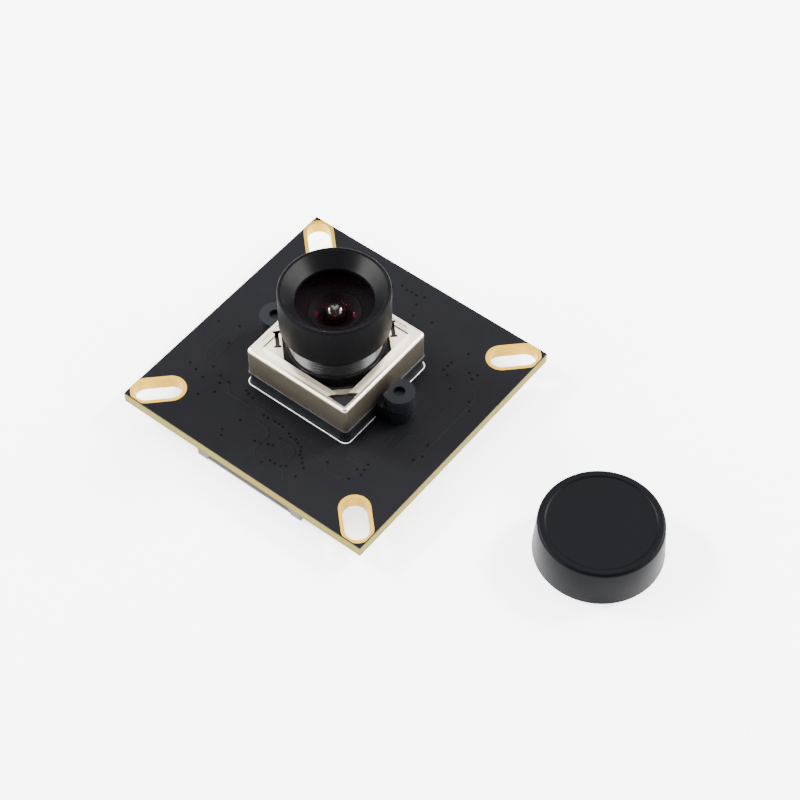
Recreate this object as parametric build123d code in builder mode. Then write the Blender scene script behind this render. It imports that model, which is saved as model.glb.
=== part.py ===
"""Autofocus camera module on a square circuit board, with the lens cap lying beside it.

The origin is the middle of the board's upper face. +Z is the optical axis, towards what the lens sees.
X and Y run along the board's edges. All sizes are in millimetres.
"""

import os
from math import sqrt

from build123d import *

os.makedirs("parts", exist_ok=True)

# Board and its four slotted corner holes
board_side = 38.0
board_thickness = 1.6
slot_setback = 4.32
slot_length = 6.2
slot_width = 3.1
pad_margin = 0.475
pad_edge_gap = 0.1
plating = 0.05

# Gap between pieces that are pushed or glued together
fit_gap = 0.05

# Moulded holder base, screwed to the board through two ears
base_step = 0.05
base_corner = 1.0
base_height = 2.1
ear_offset = 2.0
ear_radius = 2.0
ear_height = 4.25
ear_can_gap = 0.75
ear_groove = 0.15
plinth_rise = 0.69
stop_overlap = 0.5

# Screws that come up through the board into the ears
screw_radius = 0.7
screw_tip_depth = 0.55
screw_head_radius = 1.5
screw_head_height = 1.0
screw_recess_length = 1.6
screw_recess_width = 0.32
screw_recess_depth = 0.5
screw_board_gap = 0.2

# Image sensor and infrared filter, under the holder
sensor_side = 9.4
sensor_height = 0.75
sensor_wall = 0.9
sensor_cavity_depth = 0.4
die_margin = 0.4
die_thickness = 0.25
sensor_glass_margin = 0.4
sensor_glass_thickness = 0.4
sensor_clearance = 0.2
filter_side = 7.4
filter_thickness = 0.3
filter_ledge = 0.5
filter_pocket = 0.4

# Sheet-metal can that closes the focus motor
can_corner = 0.6
can_bend = 0.4
can_sheet = 0.2
can_height = 4.3
opening_gap = 0.13
rail_inset = 0.55
rail_inner_width = 0.57
rail_rise = 0.1
crease_setback = 2.193
tab_gap = 0.37
tab_bridge = 0.3
tab_shift = 1.1
tab_length = 1.7
tab_drop = 1.0
relief_length = 2.6
relief_width = 0.53
relief_serif_width = 0.95
relief_serif_height = 0.35
bar_setback = 3.593
bar_width = 0.8
window_rim = 0.6

# Focus motor: leaf springs, magnets, coil and lens carrier
focus_travel = 0.4
travel_gap = 0.2
spring_sheet = 0.06
spring_ring_gap = 0.08
spring_ring_width = 0.24
spring_arm_width = 0.12
spring_arm_overrun = 0.15
frame_gap = 0.18
frame_wall = 0.4
magnet_gap = 0.3
magnet_tip = 0.66
thread_gap = 0.03
collar_wall = 0.27
collar_proud = 0.5
bobbin_wall = 0.39
pocket_gap = 0.15
pocket_wall = 0.43
coil_thickness = 0.6
flange_step = 0.05
lower_flange = 0.3
upper_flange = 0.4

# Lens barrel with its 12 mm thread and 14 mm head, from the rear up
thread_radius = 6.0
lens_inset = 0.55
thread_length = 5.4
neck_radius = 5.75
neck_length = 1.5
head_radius = 7.0
head_height = 5.9
rim_chamfer = 0.2
rim_wall = 0.4

# Seats inside the barrel, from the front down
ring_pocket = 2.3
front_wall = 1.55
front_pocket = 1.7
middle_bore = 3.4
middle_pocket = 4.6
lip_bore = 2.3
lip_height = 0.4
rear_bore = 4.0

# Glass elements, rings and stop inside the barrel
hood_depth = 1.7
hood_overlap = 0.5
hood_drop = 0.1
hood_land = 0.05
front_hollow_radius = 3.3
front_hollow = 1.1
front_spacer_height = 0.9
front_spacer_land = 0.1
front_spacer_bore = 1.9
second_dome_radius = 1.75
second_crown = 1.25
stop_thickness = 0.2
stop_bore = 0.95
third_height = 1.2
third_hollow = 0.5
rear_height = 1.2
rear_crown = 0.3
rear_ring_height = 0.9
rear_ring_wall = 1.0

# Two soldered terminals of the coil, at the back of the base
terminal_spacing = 3.0
terminal_width = 0.8
terminal_sheet = 0.15
terminal_rise = 1.0
terminal_foot = 0.7

# Height of the tallest parts under the board, which the module rests on
underside_height = 2.0

# Flat-cable connector under the board, with its flip latch
connector_x = 0.9
connector_setback = 0.5
connector_width = 16.6
connector_depth = 5.4
connector_end = 1.6
connector_tongue = 0.8
cable_slot_height = 0.4
cable_slot_depth = 3.9
cable_slot_side_gap = 0.1
contact_count = 24
contact_pitch = 0.5
contact_width = 0.2
contact_sheet = 0.2
contact_tail = 0.6
contact_start = 1.2
contact_nose = 0.5
contact_nose_run = 0.3
contact_lift = 0.1
contact_groove_gap = 0.02
latch_pivot_depth = 1.6
latch_front_gap = 0.1
latch_end_gap = 0.15
latch_swing_gap = 0.1
latch_lip = 0.2
trunnion_radius = 0.2
trunnion_length = 0.35
anchor_inset = 1.0
anchor_start = 0.8
anchor_length = 1.8
anchor_reach = 0.5
anchor_sheet = 0.2

# Chips soldered to the board's underside
processor_side = 8.0
processor_height = 0.85
processor_y = -4.2
memory_length = 6.0
memory_width = 5.0
memory_height = 0.8
memory_x = -12.5
memory_y = -7.0
crystal_length = 3.2
crystal_width = 2.5
crystal_height = 0.8
crystal_rim = 0.2
crystal_rim_height = 0.4
crystal_x = 9.0
crystal_y = -8.6
driver_side = 2.0
driver_height = 0.6
driver_x = 12.8
driver_y = -5.0

# Power inductors, at the corners away from the connector
inductor_width = 4.0
inductor_corner = 0.6
inductor_spacing = 19.0
power_edge_distance = 6.5
inductor_terminal_width = 1.6
inductor_terminal_sheet = 0.12
inductor_terminal_height = 1.0

# Voltage regulators between the inductors, with gull-wing leads
regulator_length = 2.9
regulator_width = 1.6
regulator_height = 1.0
regulator_lift = 0.1
regulator_spacing = 6.4
lead_width = 0.4
lead_sheet = 0.15
lead_reach = 0.6
lead_foot = 0.35
lead_rise = 0.55
lead_pitch = 0.95

# Rows of capacitors and resistors
capacitor_length = 1.6
capacitor_width = 0.8
resistor_length = 1.0
resistor_width = 0.5
resistor_height = 0.35
chip_end = 0.25
chip_pitch = 1.9
column_count = 4
column_gap = 0.7
near_row_count = 5
near_row_gap = 1.0
far_row_count = 9
far_row_y = 8.3
resistor_row_count = 7
resistor_row_y = 5.4

# Lens cap, lying mouth down beside the module
cap_x = 40.05
cap_y = 0.85
cap_height = 5.5
cap_fit = 0.05
cap_wall = 1.05
cap_draft = 0.35
cap_roof = 1.2
cap_edge_chamfer = 0.35
cap_band = 1.05
cap_dish_depth = 0.12

# Slots and small parts, placed from the board's corners and edges
slot_reach = board_side / sqrt(2) - slot_setback
power_y = board_side / 2 - power_edge_distance

# Heights, from the floor up
board_bottom = -board_thickness
floor_level = board_bottom - underside_height
plinth_top = base_height + plinth_rise
motor_bottom = plinth_top + spring_sheet
can_top = base_height + can_height
plate_bottom = can_top - can_sheet
motor_top = plate_bottom - focus_travel - travel_gap
motor_height = motor_top - motor_bottom
bobbin_bottom = motor_bottom + lower_flange
bobbin_top = motor_top - upper_flange
bobbin_height = bobbin_top - bobbin_bottom
collar_top = can_top + collar_proud

# Half widths of the motor, from the thread outwards; a reach is measured along a diagonal
carrier_bore = thread_radius + thread_gap
carrier_collar = carrier_bore + collar_wall
carrier_half = carrier_bore + bobbin_wall
tab_edge_reach = carrier_collar + tab_gap
carrier_reach = tab_edge_reach + can_sheet + pocket_gap + pocket_wall
coil_half = carrier_half + flange_step + coil_thickness
coil_reach = carrier_reach + flange_step + coil_thickness
flange_half = coil_half + flange_step
flange_reach = coil_reach + flange_step
frame_half = flange_half + frame_gap
frame_reach = flange_reach + frame_gap
plinth_bore = flange_half - stop_overlap
plinth_side = 2 * (frame_half + frame_wall)
can_inner = plinth_side / 2 + fit_gap
can_side = 2 * (can_inner + can_sheet)
base_side = can_side + 2 * base_step
ear_reach = base_side / 2 + ear_offset
plinth_corner = can_corner - can_sheet
opening_half = carrier_collar + opening_gap
rail_outer = can_side / 2 - rail_inset
rail_middle = opening_half + rail_inner_width
window_edge = can_side / 2 - window_rim
crease_reach = can_side / sqrt(2) - crease_setback
bar_edge_reach = can_side / sqrt(2) - bar_setback
tab_reach = tab_edge_reach + can_sheet / 2
relief_reach = tab_edge_reach + tab_bridge + relief_width / 2

# Levels of the lens
barrel_bottom = motor_bottom + lens_inset
thread_top = barrel_bottom + thread_length
head_bottom = thread_top + neck_length
head_top = head_bottom + head_height
front_bore = head_radius - front_wall
hood_bore = front_bore - hood_overlap
ring_seat = head_top - ring_pocket
front_seat = ring_seat - front_pocket
middle_seat = front_seat - middle_pocket
rear_seat = middle_seat - lip_height

# Places in the connector
connector_front = -board_side / 2 + connector_setback
connector_rear = connector_front + connector_depth
tongue_bottom = board_bottom - connector_tongue
slot_bottom = tongue_bottom - cable_slot_height
latch_top = slot_bottom - fit_gap
latch_bottom = floor_level + fit_gap
latch_thickness = latch_top - latch_bottom
latch_radius = latch_thickness / 2
latch_axis_y = connector_front + latch_pivot_depth
latch_axis_z = latch_bottom + latch_radius
latch_bay = connector_width - 2 * connector_end
latch_length = latch_bay - 2 * latch_end_gap


def octagon(half, reach):
    """A square of half width `half`, its corners cut square to the diagonals at `reach` from the middle."""
    Rectangle(2 * half, 2 * half)
    Rectangle(2 * reach, 2 * reach, rotation=45, mode=Mode.INTERSECT)


def diagonal_plane(height):
    """A level plane whose x runs along the diagonal through the two tabbed corners of the can."""
    return Plane(origin=(0, 0, height), x_dir=(1, 1, 0), z_dir=(0, 0, 1))


def save(piece, name):
    """Label a finished piece and write it as its own STEP file."""
    piece.part.label = name
    export_step(piece.part, f"parts/{name}.step")


# Board: slots on the diagonals and two clearance holes for the holder's screws
with BuildPart() as circuit_board:
    with BuildSketch(Plane.XY.offset(board_bottom)):
        Rectangle(board_side, board_side)
        with PolarLocations(slot_reach, 4, start_angle=45):
            SlotOverall(slot_length + 2 * plating, slot_width + 2 * plating, mode=Mode.SUBTRACT)
        with Locations((-ear_reach, 0), (ear_reach, 0)):
            Circle(screw_radius + screw_board_gap, mode=Mode.SUBTRACT)
    extrude(amount=board_thickness)
save(circuit_board, "circuit_board")

# Gold plating of each slot: a ring on both faces, joined through the hole
with BuildPart() as slot_pads:
    for face_level in (board_bottom - plating, 0):
        with BuildSketch(Plane.XY.offset(face_level)):
            with PolarLocations(slot_reach, 4, start_angle=45):
                SlotOverall(slot_length + 2 * pad_margin, slot_width + 2 * pad_margin)
            pad_limit = board_side - 2 * pad_edge_gap
            Rectangle(pad_limit, pad_limit, mode=Mode.INTERSECT)
        extrude(amount=plating)
    with BuildSketch(Plane.XY.offset(board_bottom)):
        with PolarLocations(slot_reach, 4, start_angle=45):
            SlotOverall(slot_length + 2 * plating, slot_width + 2 * plating)
    extrude(amount=board_thickness)
    with BuildSketch(Plane.XY.offset(board_bottom - plating)):
        with PolarLocations(slot_reach, 4, start_angle=45):
            SlotOverall(slot_length, slot_width)
    extrude(amount=board_thickness + 2 * plating, mode=Mode.SUBTRACT)
save(slot_pads, "slot_pads")

# Holder base: flange with two D-shaped ears, plinth for the can, room for the sensor and a filter seat
with BuildPart() as holder_base:
    with BuildSketch():
        RectangleRounded(base_side, base_side, base_corner)
        Rectangle(2 * ear_reach, 2 * ear_radius)
        with Locations((-ear_reach, 0), (ear_reach, 0)):
            Circle(ear_radius)
    extrude(amount=base_height)
    with BuildSketch(Plane.XY.offset(base_height)):
        with Locations((-ear_reach, 0), (ear_reach, 0)):
            Circle(ear_radius)
        Rectangle(can_side + 2 * ear_can_gap, 2 * ear_radius, mode=Mode.SUBTRACT)
    extrude(amount=ear_height - base_height)
    for side in (-1, 1):
        with BuildSketch(Plane.XY.offset(base_height - ear_groove)):
            with Locations((side * ear_reach, 0)):
                Circle(ear_radius + ear_groove)
                Circle(ear_radius - ear_groove, mode=Mode.SUBTRACT)
            with Locations((side * (ear_reach - ear_radius), 0)):
                Rectangle(2 * ear_radius, 3 * ear_radius, mode=Mode.SUBTRACT)
        extrude(amount=ear_groove, mode=Mode.SUBTRACT)
    with BuildSketch(Plane.XY.offset(base_height)):
        RectangleRounded(plinth_side, plinth_side, plinth_corner)
        Circle(plinth_bore, mode=Mode.SUBTRACT)
    extrude(amount=plinth_rise)
    with BuildSketch():
        Rectangle(sensor_side + 2 * sensor_clearance, sensor_side + 2 * sensor_clearance)
    extrude(amount=sensor_height + sensor_glass_thickness + sensor_clearance, mode=Mode.SUBTRACT)
    with BuildSketch():
        Rectangle(filter_side - 2 * filter_ledge, filter_side - 2 * filter_ledge)
    extrude(amount=base_height, mode=Mode.SUBTRACT)
    with BuildSketch(Plane.XY.offset(base_height - filter_pocket)):
        Rectangle(filter_side + 2 * fit_gap, filter_side + 2 * fit_gap)
    extrude(amount=filter_pocket, mode=Mode.SUBTRACT)
    with BuildSketch():
        with Locations((-ear_reach, 0), (ear_reach, 0)):
            Circle(screw_radius + fit_gap)
    extrude(amount=ear_height, mode=Mode.SUBTRACT)
save(holder_base, "holder_base")

# Screws: pan heads under the board, points inside the ears
with BuildPart() as holder_screws:
    with BuildSketch(Plane.XY.offset(board_bottom)):
        with Locations((-ear_reach, 0), (ear_reach, 0)):
            Circle(screw_radius)
    extrude(amount=ear_height - screw_tip_depth - board_bottom)
    with BuildSketch(Plane.XY.offset(board_bottom - screw_head_height)):
        with Locations((-ear_reach, 0), (ear_reach, 0)):
            Circle(screw_head_radius)
    extrude(amount=screw_head_height)
    with BuildSketch(Plane.XY.offset(board_bottom - screw_head_height)):
        with Locations((-ear_reach, 0), (ear_reach, 0)):
            Rectangle(screw_recess_length, screw_recess_width)
            Rectangle(screw_recess_width, screw_recess_length)
    extrude(amount=screw_recess_depth, mode=Mode.SUBTRACT)
save(holder_screws, "holder_screws")

# Sensor package: a ceramic tray with the die in its cavity, closed by a glass
with BuildPart() as sensor_package:
    with BuildSketch():
        Rectangle(sensor_side, sensor_side)
    extrude(amount=sensor_height)
    with BuildSketch(Plane.XY.offset(sensor_height - sensor_cavity_depth)):
        Rectangle(sensor_side - 2 * sensor_wall, sensor_side - 2 * sensor_wall)
    extrude(amount=sensor_cavity_depth, mode=Mode.SUBTRACT)
save(sensor_package, "sensor_package")

with BuildPart() as sensor_die:
    with BuildSketch(Plane.XY.offset(sensor_height - sensor_cavity_depth)):
        die_side = sensor_side - 2 * sensor_wall - 2 * die_margin
        Rectangle(die_side, die_side)
    extrude(amount=die_thickness)
save(sensor_die, "sensor_die")

with BuildPart() as sensor_glass:
    with BuildSketch(Plane.XY.offset(sensor_height)):
        glass_side = sensor_side - 2 * sensor_glass_margin
        Rectangle(glass_side, glass_side)
    extrude(amount=sensor_glass_thickness)
save(sensor_glass, "sensor_glass")

with BuildPart() as infrared_filter:
    with BuildSketch(Plane.XY.offset(base_height - filter_pocket)):
        Rectangle(filter_side, filter_side)
    extrude(amount=filter_thickness)
save(infrared_filter, "infrared_filter")

# Rails of the can: two sloping steps along each side of its opening, from crease to crease
with BuildPart() as rails:
    with BuildSketch(Plane.XZ.offset(-rail_outer)):
        for side in (-1, 1):
            with BuildLine():
                Polyline(
                    (side * rail_outer, can_top),
                    (side * rail_middle, can_top + rail_rise),
                    (side * opening_half, can_top + 2 * rail_rise),
                    (side * opening_half, can_top),
                    close=True,
                )
            make_face()
    extrude(amount=2 * rail_outer)
    add(rails.part.rotate(Axis.Z, 90))
    with BuildSketch(Plane.XY.offset(can_top)):
        octagon(rail_outer, crease_reach)
    extrude(amount=2 * rail_rise, mode=Mode.INTERSECT)

# Can: drawn sheet metal with rounded bends and rails, with relief slots and bent-down tabs on one diagonal
# and triangular windows behind a bar on the other
with BuildPart() as focus_can:
    with BuildSketch(Plane.XY.offset(base_height)):
        RectangleRounded(can_side, can_side, can_corner)
    extrude(amount=can_height)
    fillet(faces().sort_by(Axis.Z)[-1].edges(), radius=can_bend)
    with BuildSketch(Plane.XY.offset(base_height)):
        RectangleRounded(2 * can_inner, 2 * can_inner, can_corner - can_sheet)
    extrude(amount=can_height - can_sheet, mode=Mode.SUBTRACT)
    add(rails.part)
    with BuildSketch(Plane.XY.offset(plate_bottom)):
        Rectangle(2 * opening_half, 2 * opening_half)
        Rectangle(2 * tab_edge_reach, 2 * bar_edge_reach, rotation=45, mode=Mode.INTERSECT)
    with BuildSketch(Plane.XY.offset(plate_bottom)):
        Rectangle(2 * window_edge, 2 * window_edge)
        Rectangle(4 * window_edge, 2 * (bar_edge_reach + bar_width), rotation=45, mode=Mode.SUBTRACT)
    with BuildSketch(diagonal_plane(plate_bottom)):
        serif_shift = (relief_length - relief_serif_height) / 2
        with Locations((-relief_reach, tab_shift), (relief_reach, tab_shift)):
            Rectangle(relief_width, relief_length)
            with Locations((0, -serif_shift), (0, serif_shift)):
                Rectangle(relief_serif_width, relief_serif_height)
    extrude(amount=can_sheet + 2 * rail_rise, mode=Mode.SUBTRACT)
    with BuildSketch(diagonal_plane(plate_bottom - tab_drop)):
        with Locations((-tab_reach, tab_shift), (tab_reach, tab_shift)):
            Rectangle(can_sheet, tab_length)
    extrude(amount=tab_drop)
save(focus_can, "focus_can")

# Spring frame: a moulded ring that clamps the upper spring under the can's top
with BuildPart() as spring_frame:
    with BuildSketch(Plane.XY.offset(motor_top + spring_sheet)):
        RectangleRounded(plinth_side, plinth_side, plinth_corner)
    extrude(amount=plate_bottom - motor_top - spring_sheet)
    with BuildSketch(Plane.XY.offset(motor_top + spring_sheet)):
        octagon(frame_half, frame_reach)
    extrude(amount=plate_bottom - motor_top - spring_sheet, mode=Mode.SUBTRACT)
save(spring_frame, "spring_frame")


# Inner ring of the springs, and the flexure arms that run from its corners to the frame
spring_ring_inner = carrier_collar + spring_ring_gap
spring_ring_middle = spring_ring_inner + spring_ring_width / 2
spring_arm_length = frame_half * sqrt(2) - spring_ring_middle + spring_arm_overrun


def leaf_spring(height):
    """An etched leaf spring at `height`: an outer frame, an inner ring and four straight arms between them."""
    with BuildPart() as spring:
        with BuildSketch(Plane.XY.offset(height)):
            RectangleRounded(plinth_side, plinth_side, plinth_corner)
        extrude(amount=spring_sheet)
        with BuildSketch(Plane.XY.offset(height)):
            octagon(frame_half, frame_reach)
        extrude(amount=spring_sheet, mode=Mode.SUBTRACT)
        with BuildSketch(Plane.XY.offset(height)):
            Circle(spring_ring_inner + spring_ring_width)
            with PolarLocations(spring_ring_middle, 4, start_angle=45):
                with Locations((0, spring_arm_length / 2)):
                    Rectangle(spring_arm_width, spring_arm_length)
            Circle(spring_ring_inner, mode=Mode.SUBTRACT)
        extrude(amount=spring_sheet)
    return spring


lower_spring = leaf_spring(plinth_top)
save(lower_spring, "lower_spring")

upper_spring = leaf_spring(motor_top)
save(upper_spring, "upper_spring")

# Magnets: four blocks in the can's corners, flat towards the coil
with BuildPart() as magnets:
    with BuildSketch(Plane.XY.offset(motor_bottom)):
        octagon(can_inner - fit_gap, can_inner * sqrt(2) - magnet_tip)
    extrude(amount=motor_height)
    with BuildSketch(Plane.XY.offset(motor_bottom)):
        magnet_face = flange_reach + magnet_gap
        Rectangle(2 * magnet_face, 2 * magnet_face, rotation=45)
    extrude(amount=motor_height, mode=Mode.SUBTRACT)
save(magnets, "magnets")

# Carrier: flanged bobbin with the lens thread's bore, a thin collar and pockets for the can's tabs
with BuildPart() as lens_carrier:
    with BuildSketch(Plane.XY.offset(motor_bottom)):
        octagon(flange_half, flange_reach)
    extrude(amount=motor_height)
    with BuildSketch(Plane.XY.offset(bobbin_bottom)):
        Rectangle(3 * flange_half, 3 * flange_half)
    extrude(amount=bobbin_height, mode=Mode.SUBTRACT)
    with BuildSketch(Plane.XY.offset(bobbin_bottom)):
        octagon(carrier_half, carrier_reach)
    extrude(amount=bobbin_height)
    with BuildSketch(Plane.XY.offset(motor_top)):
        Circle(carrier_collar)
    extrude(amount=collar_top - motor_top)
    with BuildSketch(diagonal_plane(plate_bottom - tab_drop - focus_travel - pocket_gap)):
        with Locations((-tab_reach, tab_shift), (tab_reach, tab_shift)):
            Rectangle(can_sheet + 2 * pocket_gap, tab_length + 2 * pocket_gap)
    extrude(amount=motor_height, mode=Mode.SUBTRACT)
    with BuildSketch(Plane.XY.offset(motor_bottom)):
        Circle(carrier_bore)
    extrude(amount=collar_top - motor_bottom, mode=Mode.SUBTRACT)
save(lens_carrier, "lens_carrier")

# Coil: wound round the bobbin
with BuildPart() as focus_coil:
    with BuildSketch(Plane.XY.offset(bobbin_bottom + flange_step)):
        octagon(coil_half, coil_reach)
    extrude(amount=bobbin_height - 2 * flange_step)
    with BuildSketch(Plane.XY.offset(bobbin_bottom + flange_step)):
        octagon(carrier_half + flange_step, carrier_reach + flange_step)
    extrude(amount=bobbin_height - 2 * flange_step, mode=Mode.SUBTRACT)
save(focus_coil, "focus_coil")

# Lens barrel: turned profile with the thread's envelope, a bare neck and the head, bored for the optics
with BuildPart() as lens_barrel:
    with BuildSketch(Plane.XZ):
        with BuildLine():
            Polyline(
                (rear_bore, barrel_bottom),
                (thread_radius, barrel_bottom),
                (thread_radius, thread_top),
                (neck_radius, thread_top),
                (neck_radius, head_bottom),
                (head_radius, head_bottom),
                (head_radius, head_top - rim_chamfer),
                (head_radius - rim_chamfer, head_top),
                (head_radius - rim_wall, head_top),
                (head_radius - rim_wall, ring_seat),
                (front_bore, ring_seat),
                (front_bore, front_seat),
                (middle_bore, front_seat),
                (middle_bore, middle_seat),
                (lip_bore, middle_seat),
                (lip_bore, rear_seat),
                (rear_bore, rear_seat),
                (rear_bore, barrel_bottom),
            )
        make_face()
    revolve(axis=Axis.Z)
save(lens_barrel, "lens_barrel")


def polished_face(apex, edge_radius, edge_level):
    """Half the outline of a polished face: an arc square to the axis, or a line where the face is flat."""
    if apex == edge_level:
        Line((0, apex), (edge_radius, edge_level))
    else:
        TangentArc((0, apex), (edge_radius, edge_level), tangent=(1, 0))


def glass_element(rim_radius, rim_bottom, rim_top, front_apex, front_radius, rear_apex, rear_radius):
    """A turned glass element, its faces curved inside `front_radius` and `rear_radius` and flat outside them."""
    with BuildPart() as element:
        with BuildSketch(Plane.XZ):
            with BuildLine():
                polished_face(front_apex, front_radius, rim_top)
                if front_radius < rim_radius:
                    Line((front_radius, rim_top), (rim_radius, rim_top))
                Line((rim_radius, rim_top), (rim_radius, rim_bottom))
                if rear_radius < rim_radius:
                    Line((rim_radius, rim_bottom), (rear_radius, rim_bottom))
                polished_face(rear_apex, rear_radius, rim_bottom)
                Line((0, rear_apex), (0, front_apex))
            make_face()
        revolve(axis=Axis.Z)
    return element


def spacer_ring(outer, inner, bottom, height):
    """A plain ring that holds its neighbours apart along the axis."""
    with BuildPart() as ring:
        with BuildSketch(Plane.XY.offset(bottom)):
            Circle(outer)
            Circle(inner, mode=Mode.SUBTRACT)
        extrude(amount=height)
    return ring


# Front of the optics: an element hollowed from behind, under the hood, a threaded ring with a conical mouth
front_radius = front_bore - fit_gap
front_element = glass_element(
    front_radius,
    front_seat,
    ring_seat,
    ring_seat,
    front_radius,
    front_seat + front_hollow,
    front_hollow_radius,
)
save(front_element, "front_element")

with BuildPart() as front_ring:
    with BuildSketch(Plane.XZ):
        with BuildLine():
            ring_outer = head_radius - rim_wall - fit_gap
            ring_top = head_top - hood_drop
            Polyline(
                (hood_bore, ring_seat),
                (ring_outer, ring_seat),
                (ring_outer, ring_top),
                (ring_outer - hood_land, ring_top),
                (hood_bore, ring_top - hood_depth),
                close=True,
            )
        make_face()
    revolve(axis=Axis.Z)
save(front_ring, "front_ring")

# Middle of the optics, from the front: funnel-shaped spacer, second element, stop and third element
middle_radius = middle_bore - fit_gap
second_top = front_seat - front_spacer_height
third_top = middle_seat + third_height
second_bottom = third_top + stop_thickness

with BuildPart() as front_spacer:
    with BuildSketch(Plane.XZ):
        with BuildLine():
            Polyline(
                (front_spacer_bore, second_top),
                (middle_radius, second_top),
                (middle_radius, front_seat),
                (middle_radius - front_spacer_land, front_seat),
                (front_spacer_bore, second_top + front_spacer_land),
                close=True,
            )
        make_face()
    revolve(axis=Axis.Z)
save(front_spacer, "front_spacer")

second_element = glass_element(
    middle_radius,
    second_bottom,
    second_top,
    second_top + second_crown,
    second_dome_radius,
    second_bottom,
    middle_radius,
)
save(second_element, "second_element")

aperture_stop = spacer_ring(middle_radius, stop_bore, third_top, stop_thickness)
save(aperture_stop, "aperture_stop")

third_element = glass_element(
    middle_radius,
    middle_seat,
    third_top,
    third_top,
    middle_radius,
    middle_seat + third_hollow,
    lip_bore,
)
save(third_element, "third_element")

# Rear of the optics: an element against the lip from behind, and its threaded retaining ring
rear_radius = rear_bore - fit_gap
rear_bottom = rear_seat - rear_height
rear_element = glass_element(
    rear_radius,
    rear_bottom,
    rear_seat,
    rear_seat + rear_crown,
    lip_bore - fit_gap,
    rear_bottom,
    rear_radius,
)
save(rear_element, "rear_element")

rear_ring_bore = rear_radius - rear_ring_wall
rear_ring = spacer_ring(rear_radius, rear_ring_bore, rear_bottom - rear_ring_height, rear_ring_height)
save(rear_ring, "rear_ring")

# Coil terminals: bent strips from the back of the base down to the board
with BuildPart() as coil_terminals:
    for side in (-1, 1):
        with BuildSketch(Plane.YZ.offset(side * terminal_spacing / 2)):
            with BuildLine():
                Polyline(
                    (base_side / 2, terminal_rise),
                    (base_side / 2 + terminal_sheet, terminal_rise),
                    (base_side / 2 + terminal_sheet, terminal_sheet),
                    (base_side / 2 + terminal_foot, terminal_sheet),
                    (base_side / 2 + terminal_foot, 0),
                    (base_side / 2, 0),
                    close=True,
                )
            make_face()
        extrude(amount=terminal_width / 2, both=True)
save(coil_terminals, "coil_terminals")

# Connector contacts: one stamped contact, repeated at the pitch
with BuildPart() as contact:
    with BuildSketch(Plane.YZ.offset(connector_x)):
        with BuildLine():
            nose_start = connector_front + contact_start
            Polyline(
                (connector_rear + contact_tail, board_bottom),
                (nose_start, board_bottom),
                (nose_start, tongue_bottom - contact_lift),
                (nose_start + contact_nose, tongue_bottom - contact_lift),
                (nose_start + contact_nose + contact_nose_run, board_bottom - contact_sheet),
                (connector_rear + contact_tail, board_bottom - contact_sheet),
                close=True,
            )
        make_face()
    extrude(amount=contact_width / 2, both=True)

with BuildPart() as connector_contacts:
    with GridLocations(contact_pitch, contact_pitch, contact_count, 1):
        add(contact.part)
save(connector_contacts, "connector_contacts")

# Connector anchors: solder tabs under the two ends
with BuildPart() as connector_anchors:
    with BuildSketch(Plane.XY.offset(board_bottom - anchor_sheet)):
        anchor_centre = connector_width / 2 + (anchor_reach - anchor_inset) / 2
        anchor_y = connector_front + anchor_start + anchor_length / 2
        with Locations((connector_x - anchor_centre, anchor_y), (connector_x + anchor_centre, anchor_y)):
            Rectangle(anchor_inset + anchor_reach, anchor_length)
    extrude(amount=anchor_sheet)
save(connector_anchors, "connector_anchors")

# Connector housing: cable slot, contact grooves, bay and bearings for the latch, seats for the anchors
with BuildPart() as cable_connector:
    with BuildSketch(Plane.XY.offset(floor_level)):
        with Locations((connector_x, connector_front + connector_depth / 2)):
            Rectangle(connector_width, connector_depth)
    extrude(amount=underside_height)
    with BuildSketch(Plane.XY.offset(slot_bottom)):
        cable_width = (contact_count + 1) * contact_pitch
        with Locations((connector_x, connector_front + cable_slot_depth / 2)):
            Rectangle(cable_width + 2 * cable_slot_side_gap, cable_slot_depth)
    extrude(amount=cable_slot_height, mode=Mode.SUBTRACT)
    with BuildSketch(Plane.XY.offset(tongue_bottom)):
        groove_length = connector_depth - contact_start + contact_groove_gap
        with Locations((connector_x, connector_rear - groove_length / 2)):
            with GridLocations(contact_pitch, contact_pitch, contact_count, 1):
                Rectangle(contact_width + 2 * contact_groove_gap, groove_length)
    extrude(amount=connector_tongue, mode=Mode.SUBTRACT)
    with BuildSketch(Plane.XY.offset(floor_level)):
        bay_depth = latch_pivot_depth + latch_radius + latch_swing_gap
        with Locations((connector_x, connector_front + bay_depth / 2)):
            Rectangle(latch_bay, bay_depth)
    extrude(amount=slot_bottom - floor_level, mode=Mode.SUBTRACT)
    with BuildSketch(Plane.YZ.offset(connector_x)):
        with Locations((latch_axis_y, latch_axis_z)):
            Circle(trunnion_radius + fit_gap)
    extrude(amount=latch_bay / 2 + trunnion_length + fit_gap, both=True, mode=Mode.SUBTRACT)
    add(connector_anchors.part, mode=Mode.SUBTRACT)
save(cable_connector, "cable_connector")

# Connector latch: a bar that turns on two trunnions, with a thinner lip to lift it by
with BuildPart() as connector_latch:
    with BuildSketch(Plane.YZ.offset(connector_x)):
        with BuildLine():
            Polyline(
                (latch_axis_y, latch_bottom),
                (connector_front + latch_front_gap, latch_bottom),
                (connector_front + latch_front_gap, latch_top - latch_lip),
                (connector_front + latch_front_gap + latch_lip, latch_top),
                (latch_axis_y, latch_top),
                close=True,
            )
        make_face()
        with Locations((latch_axis_y, latch_axis_z)):
            Circle(latch_radius)
    extrude(amount=latch_length / 2, both=True)
    with BuildSketch(Plane.YZ.offset(connector_x)):
        with Locations((latch_axis_y, latch_axis_z)):
            Circle(trunnion_radius)
    extrude(amount=latch_bay / 2 + trunnion_length, both=True)
save(connector_latch, "connector_latch")


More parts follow.
